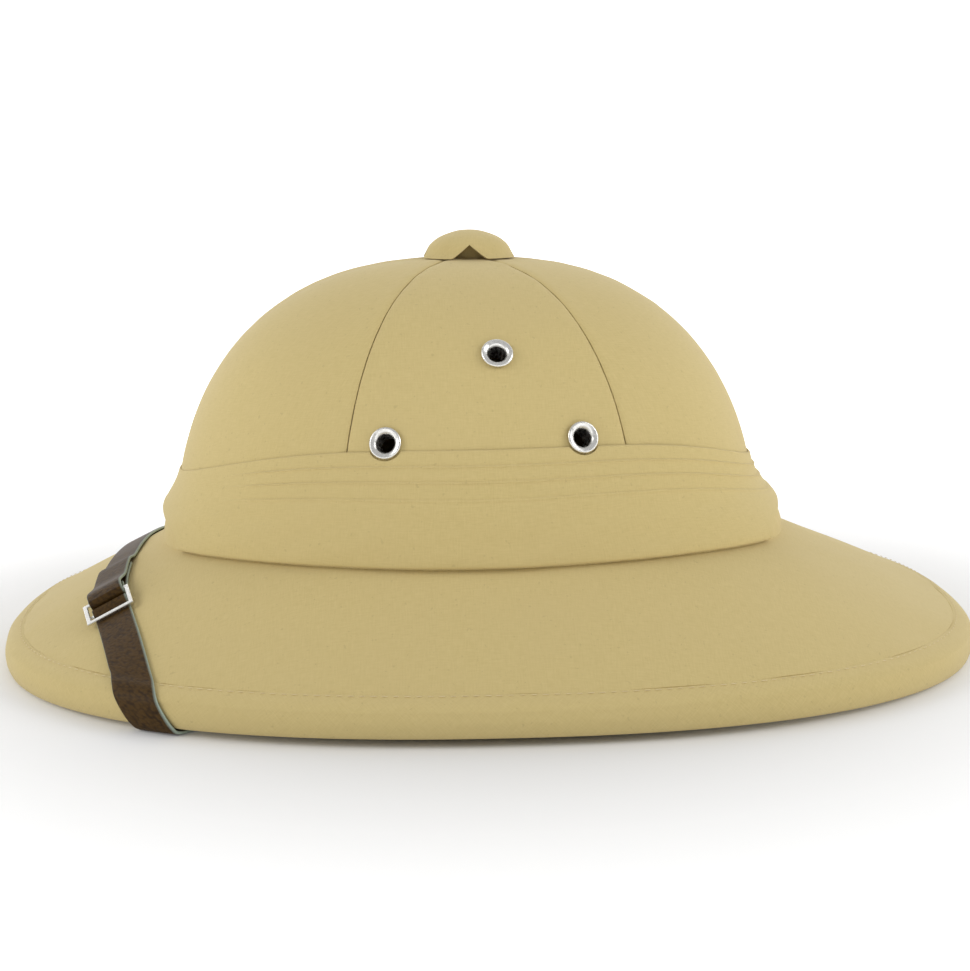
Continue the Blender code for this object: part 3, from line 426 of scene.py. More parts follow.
def ripple(place, length, seed):
    """Soft unevenness between about -1 and 1, with waves of about one length."""
    chance = np.random.default_rng(seed)
    total = np.zeros(place.shape[:-1])
    for _ in range(7):
        direction = unit(chance.normal(size=3))
        wave = 2 * math.pi / (length * chance.uniform(0.7, 1.5))
        total += np.sin((place * direction).sum(-1) * wave + chance.uniform(0, 6.3))
    return total / 3.0


def along_line(line):
    """Distance of each point of a line from its start, measured along it."""
    return np.concatenate([[0.0], np.cumsum(lengths(np.diff(line, axis=0)))])


def sheet_mesh(outer, inner):
    """Points and faces of cloth between two open grids of the same shape."""
    rows, columns, _ = outer.shape
    ring = np.concatenate([outer, inner[:, ::-1]], 1)
    faces = grid_quads(rows, 2 * columns, False, True).tolist()
    last = 2 * columns - 1
    for row, flip in ((0, True), (rows - 1, False)):
        start = row * 2 * columns
        for j in range(columns - 1):
            face = (start + j, start + j + 1, start + last - j - 1, start + last - j)
            faces.append(face if flip else face[::-1])
    return ring, [tuple(face) for face in faces]


def spread(tree, value, low, high, to_low=0.0, to_high=1.0):
    """A value's stretch from low to high, drawn out from to_low to to_high and held at both ends."""
    return add_node(tree, "ShaderNodeMapRange", {"Value": value, "From Min": low, "From Max": high,
                                                 "To Min": to_low, "To Max": to_high}).outputs[0]


def make_cloth():
    """Cotton drill: slubby threads both ways, fine flecks and a little fading."""
    material, tree, shader = start_material("khaki_drill", 0.9)
    shader.inputs["Sheen Weight"].default_value = 0.15
    shader.inputs["Sheen Roughness"].default_value = 0.5
    shader.inputs["Specular IOR Level"].default_value = 0.25
    thread = add_node(tree, "ShaderNodeUVMap", uv_map="thread").outputs[0]
    place = add_node(tree, "ShaderNodeTexCoord").outputs["Object"]
    heights = []
    for scale in ((260.0, 2300.0, 1.0), (2300.0, 260.0, 1.0)):
        run = add_node(tree, "ShaderNodeMapping", {"Vector": thread, "Scale": scale})
        heights.append(noise(tree, run.outputs[0], 1.0, 2.0))
    weave = add_node(tree, "ShaderNodeMath", {0: heights[0], 1: heights[1]}, operation="ADD").outputs[0]
    tone = spread(tree, weave, 0.7, 1.3)
    colour = blend_colours(tree, tone, (0.565, 0.447, 0.190, 1), (0.62, 0.497, 0.222, 1))
    fading = spread(tree, noise(tree, place, 22.0, 3.0), 0.35, 0.7, 0.0, 0.35)
    colour = blend_colours(tree, fading, colour, (0.585, 0.465, 0.216, 1))
    flecks = spread(tree, noise(tree, place, 700.0, 1.0), 0.70, 0.76, 0.0, 0.2)
    colour = blend_colours(tree, flecks, colour, (0.30, 0.22, 0.10, 1))
    tree.links.new(colour, shader.inputs["Base Color"])
    emboss(tree, shader, weave, 0.2, 0.0002)
    return material


CLOTH_LOOK = make_cloth()
rise = CROWN_TOP_Z - CROWN_FOOT_Z
top_turn = math.asin((dome_height(GORE_TOP_RADIUS) - CROWN_FOOT_Z) / rise)
between_seams = np.linspace(0, 1, 27)[1:-1]


def gore_height(step, phi):
    """Height on the crown at a share of the way down a gore."""
    foot_turn = np.arcsin((band_top(phi) - BAND_OVERLAP - CROWN_FOOT_Z) / rise)
    return CROWN_FOOT_Z + rise * np.sin(top_turn + (foot_turn - top_turn) * step)


for number, (start, end) in enumerate(zip(GORE_EDGES, GORE_EDGES[1:]), 1):
    outer, inner, threads = [], [], []
    down = 0.0
    for step in np.linspace(0, 1, GORE_ROWS):
        guess = np.linspace(start, end, 61)
        reach = along_line(crown_point(gore_height(step, guess), guess))
        near = SEAM_COLUMNS * min(1.0, reach[-1] / (5 * SEAM_COLUMNS[-1])) + SEAM_GAP
        spots = np.concatenate([near, near[-1] + (reach[-1] - 2 * near[-1]) * between_seams,
                                reach[-1] - near[::-1]])
        phi = np.interp(spots, reach, guess)
        z = gore_height(step, phi)
        row = crown_point(z, phi)
        across = crown_point(z, phi + 0.002) - crown_point(z, phi - 0.002)
        rising = crown_point(np.minimum(z + 0.05 * MM, CROWN_TOP_Z), phi) - crown_point(z - 0.05 * MM, phi)
        normals = unit(np.cross(across, rising))
        from_seam = np.minimum(spots, reach[-1] - spots)
        valley = -VALLEY_DEPTH * np.exp(-(from_seam / VALLEY_WIDTH) ** 1.2)
        ridge = RIDGE_HEIGHT * np.exp(-((from_seam - RIDGE_FROM_SEAM) / RIDGE_WIDTH) ** 2)
        pucker = PUCKER_HEIGHT * ripple(row, PUCKER_LENGTH, number) * np.exp(-from_seam / PUCKER_REACH)
        slack = SLACK_HEIGHT * ripple(row, SLACK_LENGTH, 40 + number) * smoothstep(from_seam / SLACK_START)
        surface = row + normals * (valley + ridge + pucker + slack)[:, None]
        outer.append(surface)
        inner.append(row - normals * CLOTH)
        if step:
            down += lengths(outer[-1][len(phi) // 2] - outer[-2][len(phi) // 2])
        threads.append(np.stack([spots - reach[-1] / 2, down + 0 * spots], -1))
    outer, inner, threads = np.array(outer), np.array(inner), np.array(threads)
    ring, faces = sheet_mesh(outer, inner)
    thread = np.concatenate([threads, threads[:, ::-1]], 1)
    gore = make_piece(f"gore_{number}", ring, faces, CLOTH_LOOK, thread)
    if number in (2, 5):
        side = "left" if number == 2 else "right"
        drill(gore, [(*eyelet_places[side, place], EYELET_BARREL + GAP, 4 * MM) for place in EYELETS])
    spans = lengths(np.diff(outer, axis=1)).sum(1)
    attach(gore, "root")
    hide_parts(f"crown_panel_{number}")

# ---- brim cover ----------------------------------------------------------------------------------------
# The same cloth over the top of the brim, cut in one round and drawn tight. Its inner edge stands up the
# crown's foot behind the band, and its outer edge goes under the rim's binding.
COLLAR_TOP = 0.6 * MM              # below the gores' edge
COLLAR_ROWS = 12
BRIM_CLOTH_END = 0.996             # share of the way to the crease
BRIM_SLACK = 0.18 * MM             # soft unevenness of the drawn cloth
BRIM_SLACK_LENGTH = 34 * MM
CREASE_PUCKER = 0.12 * MM          # and puckers along the stitches, which pull the edge down a little
CREASE_PUCKER_LENGTH = 8 * MM
CREASE_DENT = 0.06 * MM


def face_steps(rows):
    """Steps down and round a face given as rows round the hat, and its area."""
    spans = lengths(np.diff(rows, axis=0))
    around = lengths(np.roll(rows, -1, 1) - rows)
    return spans, around, float((spans * (around[1:] + around[:-1]) / 2).sum())


root_z = brim_point(0.0, PHI)[:, 2]
collar_z = band_top(PHI) - BAND_OVERLAP - COLLAR_TOP
collar = [crown_point(collar_z + (root_z - collar_z) * share, PHI)
          for share in np.linspace(0, 1, COLLAR_ROWS)]
field = [brim_point(share, PHI) for share in (*np.linspace(0, 1, 31)[1:-1], BRIM_CLOTH_END)]
skin = np.array(collar + field)
under = inward(skin, CLOTH)
from_crease = lengths(skin[-1:] - skin)
from_root = lengths(skin[COLLAR_ROWS - 1:COLLAR_ROWS] - skin)
on_brim = (np.arange(len(skin)) >= COLLAR_ROWS)[:, None]
lift = BRIM_SLACK * ripple(skin, BRIM_SLACK_LENGTH, 7) * smoothstep(from_root / (12 * MM))
lift += CREASE_PUCKER * ripple(skin, CREASE_PUCKER_LENGTH, 8) * np.exp(-from_crease / (6 * MM))
lift -= CREASE_DENT * np.exp(-(from_crease / (1.6 * MM)) ** 2)
surface = inward(skin, 0.0) - (inward(skin, 1.0) - skin) * (lift * on_brim)[:, :, None]
cover_grid = np.concatenate([surface, under[::-1]])
cover_thread = np.concatenate([skin, under[::-1]])[:, :, :2]
cover = make_ring("brim_cover_cloth", cover_grid, CLOTH_LOOK, cover_thread)
spans, around, cover_area = face_steps(skin)
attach(cover, "root")
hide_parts("brim_cover")

# ---- rim binding ---------------------------------------------------------------------------------------
# A bias strip of the cloth wrapped over the thick moulded edge of the brim. Its upper fold is topstitched
# to the brim in a soft crease, and the hat rests on its underside.
BIAS = np.array([(0.707, 0.707), (-0.707, 0.707)])     # the strip is cut at 45 degrees to the threads
RIM_PUFF = 0.12 * MM               # soft unevenness
RIM_PUFF_LENGTH = 26 * MM
PUFF_ROWS = 42                     # of the outer face, down to the edge's foot
TOP_ROW = 10                       # a row on the binding's top, along which its length is measured
# Outer face, from the fold at the crease over a firm shoulder and round the edge: inset, height.
BINDING_OUTLINE = np.array([
    (7.0, 11.8), (6.8, 12.12), (6.1, 12.14), (3.0, 10.75), (1.45, 9.5), (0.8, 8.7), (0.5, 7.7), (0.0, 5.0),
    (0.5, 1.6), (2.2, 0.0), (8.6, 0.0),
]) * MM
binding_outer = smooth_path(BINDING_OUTLINE, 5)
binding_inner = smooth_path(RIM_OUTLINE - section_normals(RIM_OUTLINE) * BINDING_CLOTH, 5)[::-1]
binding_section = np.concatenate([binding_outer, binding_inner])
binding_section[:, 1] = np.maximum(binding_section[:, 1], 0.0)
binding_grid = rim_rows(binding_section)
outer_rows = len(binding_outer)
outward = unit(np.pad(rim_plan(PHI), ((0, 0), (0, 1))))
puff = np.sin(math.pi * np.clip(np.arange(outer_rows) / PUFF_ROWS, 0, 1))[:, None]
puff = puff * RIM_PUFF * ripple(binding_grid[:outer_rows], RIM_PUFF_LENGTH, 11)
binding_grid[:outer_rows] += outward * puff[:, :, None]
down = along_line(binding_section)
along = along_line(binding_grid[TOP_ROW])
thread = np.stack(np.meshgrid(down, along, indexing="ij"), -1)
binding = make_ring("rim_binding_cloth", binding_grid, CLOTH_LOOK, thread @ BIAS)
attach(binding, "root")
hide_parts("rim_binding")

# ---- pleated band --------------------------------------------------------------------------------------
# The puggaree: one long strip of the cloth folded into four flat pleats, wound round the crown's foot and
# caught down at the front and the back, where its lower edge arches up.
BAND_BOTTOM_Z = 43.9 * MM          # bottom edge at the sides
BAND_BOTTOM_DROP = 5.4 * MM        # and how far it sinks towards the ends
BAND_ARCH_FRONT = 11.5 * MM
BAND_ARCH_BACK = 10.5 * MM
BAND_ARCH_ANGLE = 26.0             # degrees either side of the centre line
BAND_GAP = 0.35 * MM
BAND_PLEATED = 0.43                # share of its height at the sides that the pleats take up
PLEATS_CLOSE_FRONT = 0.35          # how much closer together they lie at the front and the back
PLEATS_CLOSE_BACK = 0.15
# Outer face from the top edge down: share of the height at the sides, distance out from the crown.
BAND_PLEATS = (
    (0.000, 0.5), (0.005, 0.9), (0.016, 1.1), (0.03, 1.05), (0.116, 1.2), (0.123, 1.25), (0.130, 1.75),
    (0.138, 1.95), (0.155, 1.7), (0.246, 1.75), (0.254, 1.8), (0.262, 2.25), (0.270, 2.45), (0.29, 2.2),
    (0.396, 2.25), (0.404, 2.3), (0.412, 2.65), (0.422, 2.85), (0.44, 2.7), (0.50, 2.9), (0.60, 2.85),
    (0.70, 2.9), (0.80, 2.8), (0.90, 2.7), (0.965, 2.5), (0.99, 2.2), (1.0, 1.7),
)
# The same face where the pleats are pressed flat, at the front.
BAND_PRESSED = (
    (0.0, 0.4), (0.005, 0.7), (0.016, 0.8), (0.2, 1.4), (0.42, 2.3), (0.6, 2.6), (0.8, 2.6), (0.965, 2.4),
    (0.99, 2.15), (1.0, 1.7),
)
EYELET_NOTCH = 5.8 * MM            # radius cut from its top edge round the low eyelets
PRESSED_ANGLE = 52.0               # degrees from the front where the pressing begins
BAND_MIDDLE = 40                   # a row near the middle of its height
LEFT_SIDE = COLUMNS // 4           # the column at the wearer's left
BAND_SLACK = 0.22 * MM             # soft unevenness below the pleats
BAND_SLACK_LENGTH = 30 * MM


def band_bottom(phi):
    ends = np.clip(np.abs(np.cos(phi)), 0.0, 1.0)
    turn = np.clip(np.degrees(np.arccos(ends)) / BAND_ARCH_ANGLE, 0.0, 1.0)
    arch = np.cos(turn * math.pi / 2) ** 0.5
    rise = np.where(np.cos(phi) > 0, BAND_ARCH_FRONT, BAND_ARCH_BACK) * arch
    return BAND_BOTTOM_Z - BAND_BOTTOM_DROP * ends ** 4 + rise


def band_height(share):
    """Height at a share of the way down the band, its pleats a little closer together at the ends."""
    closing = np.where(np.cos(PHI) > 0, PLEATS_CLOSE_FRONT, PLEATS_CLOSE_BACK) * np.cos(PHI) ** 2
    pleated = BAND_PLEATED * (BAND_TOP_Z - BAND_BOTTOM_Z) * (1 - closing)
    lower = (top - bottom - pleated) * max((share - BAND_PLEATED) / (1 - BAND_PLEATED), 0.0)
    return top - pleated * min(share / BAND_PLEATED, 1.0) - lower


profile = smooth_path(np.array(BAND_PLEATS), 3)
top, bottom = band_top(PHI), band_bottom(PHI)
pressed = smoothstep((np.cos(PHI) - math.cos(math.radians(PRESSED_ANGLE))) / 0.2)
rows = []
for share, out in profile:
    flat_out = np.interp(share, *np.array(BAND_PRESSED).T)
    out = (out + (flat_out - out) * pressed) * MM
    base = crown_point(band_height(share), PHI)
    fold = BAND_SLACK * ripple(base * (1, 1, 2.2), BAND_SLACK_LENGTH, 21) * smoothstep((share - 0.46) / 0.15)
    rows.append(crown_point(band_height(share), PHI, out + fold))
for share in np.linspace(1, 0, 12):
    rows.append(crown_point(band_height(share), PHI, BAND_GAP))
band_grid = np.array(rows)
down = along_line(band_grid[:, LEFT_SIDE])
along = along_line(band_grid[BAND_MIDDLE])
thread = np.stack(np.meshgrid(down, along, indexing="ij"), -1)
band = make_ring("puggaree_cloth", band_grid, CLOTH_LOOK, thread, sharp_angle=35.0)
low_eyelets = [place for (_, name), place in eyelet_places.items() if name != "top"]
drill(band, [(*place, EYELET_NOTCH, 6 * MM) for place in low_eyelets])
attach(band, "root")
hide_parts("puggaree")
spans, around, band_area = face_steps(band_grid[:len(profile)])

# ---- vent cap ------------------------------------------------------------------------------------------
# A turned button covered in the cloth, standing over the hole at the top of the crown on four feet with
# air gaps between them. Its post goes through the shell and is clinched beneath.
CAP_RADIUS = 17.3 * MM
CAP_HEIGHT = 9.7 * MM
CAP_FOOT = -0.4 * MM               # its foot follows the crown, which falls away from the centre
CAP_WALL = 1.5 * MM
CAP_ARCHES = 4
CAP_ARCH_HEIGHT = 4.8 * MM
CAP_ARCH_HALF_ANGLE = math.radians(21.0)
CAP_PROFILE = ((0.0, 1.0), (0.19, 0.975), (0.4, 0.88), (0.615, 0.72), (0.78, 0.49), (0.895, 0.21), (1.0, 0.0))
CAP_TOP_ROWS = 19                  # of its domed top, above the arches
CAP_ROOF = (CAP_RADIUS * 0.54, CAP_HEIGHT * 0.58)     # its hollow underside: radius, height
CAP_ROOF_AT_CORE = CAP_HEIGHT * 0.6
CAP_CORE_RADIUS = 7.5 * MM         # its core stands on the shell inside the gores' edge
POST_RADIUS = 4 * MM
CLINCH_RADIUS = 7 * MM
CLINCH_THICKNESS = 1.2 * MM

angle = np.linspace(0, 2 * math.pi, 144, endpoint=False)
spacing = 2 * math.pi / CAP_ARCHES
from_arch = np.abs((angle + spacing / 2) % spacing - spacing / 2) / CAP_ARCH_HALF_ANGLE
foot = CAP_ARCH_HEIGHT * np.clip(1 - from_arch, 0.0, 1.0) ** 0.9
cap_line = smooth_path(np.array(CAP_PROFILE) * (CAP_RADIUS, CAP_HEIGHT), 6)
cap_rows = [(radius, height + 0 * angle) for radius, height in cap_line[1:CAP_TOP_ROWS]]
shoulder = cap_line[CAP_TOP_ROWS - 1, 1]
foot_radius = np.interp(foot, cap_line[::-1, 1], cap_line[::-1, 0])
for share in np.linspace(0, 1, 15)[1:-1]:
    height = shoulder + (foot + 0.25 * MM - shoulder) * share
    cap_rows.append((np.interp(height, cap_line[::-1, 1], cap_line[::-1, 0]), height))
core_foot = -CLOTH - GAP / 2 - CAP_FOOT
post_foot = -(CLOTH + GAP + SHELL_WALL) - 4 * GAP - CAP_FOOT
cap_rows += [(foot_radius - 0.05 * MM, foot + 0.1 * MM), (foot_radius - 0.3 * MM, foot),
             (foot_radius - CAP_WALL + 0.2 * MM, foot), (foot_radius - CAP_WALL, foot + 0.2 * MM),
             (CAP_ROOF[0], CAP_ROOF[1] + 0 * angle),
             (CAP_CORE_RADIUS, CAP_ROOF_AT_CORE + 0 * angle), (CAP_CORE_RADIUS, core_foot + 0 * angle),
             (POST_RADIUS, core_foot + 0 * angle), (POST_RADIUS, post_foot + 0 * angle),
             (CLINCH_RADIUS, post_foot + 0 * angle),
             (CLINCH_RADIUS, post_foot - CLINCH_THICKNESS + 0 * angle)]
around = np.stack([np.sin(angle), -np.cos(angle)], -1)
cap_grid = np.array([
    np.concatenate([around * np.broadcast_to(radius, angle.shape)[:, None], height[:, None]], 1)
    for radius, height in cap_rows
])
cap_grid += (0.0, CROWN_CENTRE_Y + VENT_SETBACK, CROWN_TOP_Z + GAP + CAP_FOOT)


def close_ends(grid):
    """Points and faces of rings stacked along an axis, closed at both ends onto a middle point."""
    rows, columns, _ = grid.shape
    faces = [tuple(face) for face in grid_quads(rows, columns, False, True).tolist()]
    first, last = rows * columns, rows * columns + 1
    for j in range(columns):
        after = (j + 1) % columns
        faces.append((first, after, j))
        faces.append((last, (rows - 1) * columns + j, (rows - 1) * columns + after))
    points = np.concatenate([grid.reshape(-1, 3), [grid[0].mean(0)], [grid[-1].mean(0)]])
    return points, faces


points, faces = close_ends(cap_grid)
cap = make_piece("vent_cap_cloth", points, faces, CLOTH_LOOK, points[:, :2], sharp_angle=50.0)
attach(cap, "root")
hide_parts("vent_cap")

# ---- eyelets -------------------------------------------------------------------------------------------
# Six pressed tin eyelets with a rolled flange: a high outer bead, a groove and a funnel into the barrel,
# which is spread behind the shell.
EYELET_SECTION = (                 # radius, height over the cloth, from under the flange round to the barrel
    (3.3, 0.45), (4.7, 0.45), (5.1, 0.6), (5.25, 0.95), (5.1, 1.35), (4.7, 1.6), (4.3, 1.5), (3.8, 1.3),
    (3.35, 0.95), (3.0, 0.4), (2.85, -0.3), (2.8, -3.0), (2.8, -6.2), (3.3, -6.2), (3.3, -3.0),
)


def make_tin():
    """Bright tinplate, a little scuffed."""
    material, tree, shader = start_material("bright_tin", 0.25, 1.0)
    shader.inputs["Base Color"].default_value = (0.78, 0.77, 0.74, 1)
    place = add_node(tree, "ShaderNodeTexCoord").outputs["Object"]
    scuffs = noise(tree, place, 1200.0, 4.0)
    tree.links.new(spread(tree, scuffs, 0.3, 0.7, 0.16, 0.42), shader.inputs["Roughness"])
    return material


TIN = make_tin()
section = smooth_path(np.array(EYELET_SECTION) * MM, 4, closed=True)
eyelet_grid = turned(section, 72)
for (side, place), (centre, normal) in eyelet_places.items():
    grid = eyelet_grid @ turn_to(normal).T + centre
    eyelet = make_ring(f"tin_eyelet_{side}_{place}", grid, TIN)
    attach(eyelet, "root")
    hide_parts(f"eyelet_{side}_{place}")

# ---- chin strap ----------------------------------------------------------------------------------------
# Two lengths of brown grained leather, riveted inside the crown, brought round the rim and worn up over
# the front of the brim. The right one folds back round the buckle's rear bar, the left runs through it.
STRAP_WIDTH = 12.4 * MM
STRAP_FRONT_Y = -131.2 * MM        # its centre line on the hat's middle line
STRAP_SWEEP = 5.6 * MM             # how far back that line has run at a distance to the side
STRAP_SWEEP_X = 65 * MM
STRAP_SWEEP_POWER = 3.0
STRAP_STRAIGHT_X = 70 * MM         # from here on it runs straight
STRAP_LIFT = 0.5 * MM              # over the cloth
BRIM_STRETCH = 1.2                 # way round the rim's section for one in plan
STRAP_ACROSS = (-0.5, 0.0, 0.5)    # its front edge, middle and rear edge
RIM_RUN = along_line(RIM_OUTLINE)
HIDDEN_HEADING = np.array([-0.08, 1.0, 0.0])     # the way it leaves the rim's foot
HIDDEN_PULL = (48 * MM, 30 * MM)   # how long it keeps to its direction at the rim and at the rivet
HIDDEN_SWING = 10 * MM             # how far it bows into the hollow before the rivet
HIDDEN_SLANT = 25 * MM             # its rear edge is this much further on, from its slant over the rim
BUCKLE_X = 63.2 * MM
BUCKLE_HALF_PITCH = 5.0 * MM       # half the way between the outer bars
BUCKLE_BAR = 1.5 * MM              # width of a bar
BUCKLE_SHEET = 0.8 * MM            # thickness of its metal
BACK_BAR_HEIGHT = 4.1 * MM
MIDDLE_BAR_HEIGHT = 1.6 * MM


def strap_line(x):
    """Plan position of the strap's centre line at a distance from the middle, and its direction."""
    reach = min(x, STRAP_STRAIGHT_X)
    y = STRAP_FRONT_Y + STRAP_SWEEP * (reach / STRAP_SWEEP_X) ** STRAP_SWEEP_POWER
    slope = STRAP_SWEEP_POWER * (y - STRAP_FRONT_Y) / max(reach, MM)
    y += slope * (x - reach)
    return np.array([x, y]), np.array([1.0, slope]) / math.hypot(1.0, slope)


def brim_height(x, y):
    """Height of the brim's cloth over a plan point on the left front quarter."""
    low, high = -0.3, math.pi / 2
    for _ in range(32):
        middle = (low + high) / 2
        root = brim_point(0.0, np.array(middle))
        run = brim_point(1.0, np.array(middle)) - root
        side = run[0] * (y - root[1]) - run[1] * (x - root[0])
        low, high = (middle, high) if side > 0 else (low, middle)
    share = ((x - root[0]) * run[0] + (y - root[1]) * run[1]) / (run[0] ** 2 + run[1] ** 2)
    return root[2] + run[2] * share


RIM_LINE = rim_plan(np.linspace(-0.1, math.pi / 2, 1200))


def nearest_rim(x, y):
    """Rim point nearest to a plan point, its outward direction, and the point's inset from the rim."""
    best = int(np.hypot(RIM_LINE[:, 0] - x, RIM_LINE[:, 1] - y).argmin())
    best = min(max(best, 1), len(RIM_LINE) - 2)
    run = RIM_LINE[best + 1] - RIM_LINE[best - 1]
    outward = unit(np.array([-run[1], run[0]]))
    outward *= np.sign(outward @ RIM_LINE[best])
    return RIM_LINE[best], outward, -float((np.array([x, y]) - RIM_LINE[best]) @ outward)


def lay_on_brim(x, y, height):
    """Point at a height over the brim's cloth."""
    step = 0.5 * MM
    fall_x = (brim_height(x + step, y) - brim_height(x - step, y)) / (2 * step)
    fall_y = (brim_height(x, y + step) - brim_height(x, y - step)) / (2 * step)
    normal = np.array([-fall_x, -fall_y, 1.0])
    return np.array([x, y, brim_height(x, y)]) + unit(normal) * height


def strap_edge(x, across):
    """Plan position of a line along the strap, its width foreshortened by the brim's slope."""
    centre, direction = strap_line(x)
    rear = np.array([-direction[1], direction[0]])
    slope = (brim_height(*(centre + rear * MM)) - brim_height(*(centre - rear * MM))) / (2 * MM)
    return centre + rear * across * STRAP_WIDTH / math.hypot(1.0, min(abs(slope), 0.5))


def strap_station(x, height):
    """Rows across the strap's inner and outer faces, its middle at a height over the cloth."""
    faces = []
    for side in (-0.5, 0.5):
        level = height + side * LEATHER_THICKNESS
        row = [lay_on_brim(*strap_edge(abs(x), across), level) for across in STRAP_ACROSS]
        faces.append(np.array(row) * (1.0 if x >= 0 else -1.0, 1.0, 1.0))
    return faces


def edge_reach(across, run):
    """How far along the strap one of its lines has gone a given way round the rim's section."""
    low, high = 90 * MM, 170 * MM
    for _ in range(26):
        middle = (low + high) / 2
        inset = nearest_rim(*strap_edge(middle, across))[2]
        low, high = (middle, high) if (CREASE_INSET - inset) * BRIM_STRETCH < run else (low, middle)
    return (low + high) / 2


def wrap_stations(start_x):
    """From the brim to the foot of the rim, crossing the rim at a slant."""
    crossing = [edge_reach(across, 0.0) for across in STRAP_ACROSS]
    stations = []
    for share in (0.3, 0.6, 0.85):
        faces = []
        for side in (-0.5, 0.5):
            faces.append(np.array([
                lay_on_brim(*strap_edge(start_x + (reach - start_x) * share, across),
                            STRAP_LIFT + (0.5 + side) * LEATHER_THICKNESS)
                for across, reach in zip(STRAP_ACROSS, crossing)
            ]))
        stations.append(faces)
    for (inset, rise), facing, run in zip(RIM_OUTLINE, section_normals(RIM_OUTLINE), RIM_RUN):
        faces = [[], []]
        for across in STRAP_ACROSS:
            edge, outward, _ = nearest_rim(*strap_edge(edge_reach(across, run), across))
            normal = np.array([-outward[0] * facing[0], -outward[1] * facing[0], facing[1]])
            base = np.array([*(edge - outward * inset), rise + rim_lift(edge[1])])
            faces[0].append(base + normal * STRAP_LIFT)
            faces[1].append(base + normal * (STRAP_LIFT + LEATHER_THICKNESS))
        stations.append([np.array(face) for face in faces])
    return stations


def hidden_point(share, knots, across, into_hollow):
    """Inner and outer points of a line along the strap on its hidden path."""
    rest = 1.0 - share
    weights = (rest ** 3, 3 * rest ** 2 * share, 3 * rest * share ** 2, share ** 3)
    centre = sum(weight * knot for weight, knot in zip(weights, knots))
    pull = (rest ** 2, 2 * rest * share, share ** 2)
    tangent = unit(sum(pull[k] * (knots[k + 1] - knots[k]) for k in range(3)))
    turn = smoothstep((share - 0.35) / 0.65)
    facing = np.array([0.0, 0.0, -1.0]) * (1 - turn) + into_hollow * turn
    rear = unit(np.cross(facing, tangent))
    facing = np.cross(tangent, rear)
    middle = centre + rear * across * STRAP_WIDTH
    return middle - facing * LEATHER_THICKNESS / 2, middle + facing * LEATHER_THICKNESS / 2


def hidden_stations(rim_end):
    """From the foot of the rim back beneath the brim and up the inner wall to the rivet."""
    start = (rim_end[0] + rim_end[1])[1] / 2
    middle, run, into_hollow = anchor_frame()
    foot = middle - run * 8 * MM       # from here it lies flat along the wall
    swing = foot - run * HIDDEN_PULL[1] + into_hollow * HIDDEN_SWING
    knots = (start, start + unit(HIDDEN_HEADING) * HIDDEN_PULL[0], swing, foot)
    length = lengths(foot - start) * 1.08          # the bow is a little longer than straight
    stations = []
    for share in np.linspace(0.1, 1.0, 19):
        slant = HIDDEN_SLANT * (1 - share) ** 2 / length
        lines = [hidden_point(share + across * slant, knots, across, into_hollow) for across in STRAP_ACROSS]
        stations.append([np.array([line[side] for line in lines]) for side in (0, 1)])
    across_end = unit(stations[-1][0][2] - stations[-1][0][0])
    for reach in (8 * MM, 15 * MM):
        row = np.array([foot + run * reach + across_end * across * STRAP_WIDTH for across in STRAP_ACROSS])
        half = into_hollow * LEATHER_THICKNESS / 2
        stations.append([row - half, row + half])
    return stations


def buckle_frame():
    """Frame on the brim's cloth under the buckle: along the strap, across it to the rear, and up."""
    centre, direction = strap_line(BUCKLE_X)
    foot = lay_on_brim(*centre, 0.0)
    up = Vector(lay_on_brim(*centre, MM) - foot).normalized()
    ahead = Vector(lay_on_brim(*(centre + direction * 2 * MM), 0.0) - foot)
    rear = up.cross(ahead).normalized()
    return Matrix.Translation(foot) @ Matrix((rear.cross(up), rear, up)).transposed().to_4x4()


def buckle_station(ahead, height, turn=0.0):
    """Rows across the strap's two faces near the buckle, its thickness turned round its width."""
    faces = []
    for side in (-0.5, 0.5):
        u = ahead - side * LEATHER_THICKNESS * math.sin(turn)
        w = height + side * LEATHER_THICKNESS * math.cos(turn)
        faces.append(np.array([BUCKLE_PLACE @ Vector((u, across * STRAP_WIDTH, w))
                               for across in STRAP_ACROSS]))
    return faces


def make_leather():
    """Dark brown leather with a pebbled grain, and pale raw edges."""
    material, tree, shader = start_material("brown_leather", 0.5)
    shader.inputs["Specular IOR Level"].default_value = 0.12
    hide = add_node(tree, "ShaderNodeUVMap", uv_map="thread").outputs[0]
    place = add_node(tree, "ShaderNodeTexCoord").outputs["Object"]
    grain = add_node(tree, "ShaderNodeTexVoronoi", {"Vector": hide, "Scale": 1100.0}, feature="SMOOTH_F1")
    pebbles = grain.outputs["Distance"]
    wear = noise(tree, place, 180.0, 4.0)
    colour = blend_colours(tree, wear, (0.052, 0.027, 0.006, 1), (0.082, 0.043, 0.010, 1))
    creases = spread(tree, pebbles, 0.35, 0.75, 0.0, 0.75)
    colour = blend_colours(tree, creases, colour, (0.018, 0.009, 0.004, 1))
    raw = add_node(tree, "ShaderNodeAttribute", attribute_name="raw_edge")
    colour = blend_colours(tree, raw.outputs["Fac"], colour, (0.36, 0.44, 0.38, 1))
    tree.links.new(colour, shader.inputs["Base Color"])
    emboss(tree, shader, pebbles, 0.5, 0.0002, invert=True)
    return material


LEATHER = make_leather()


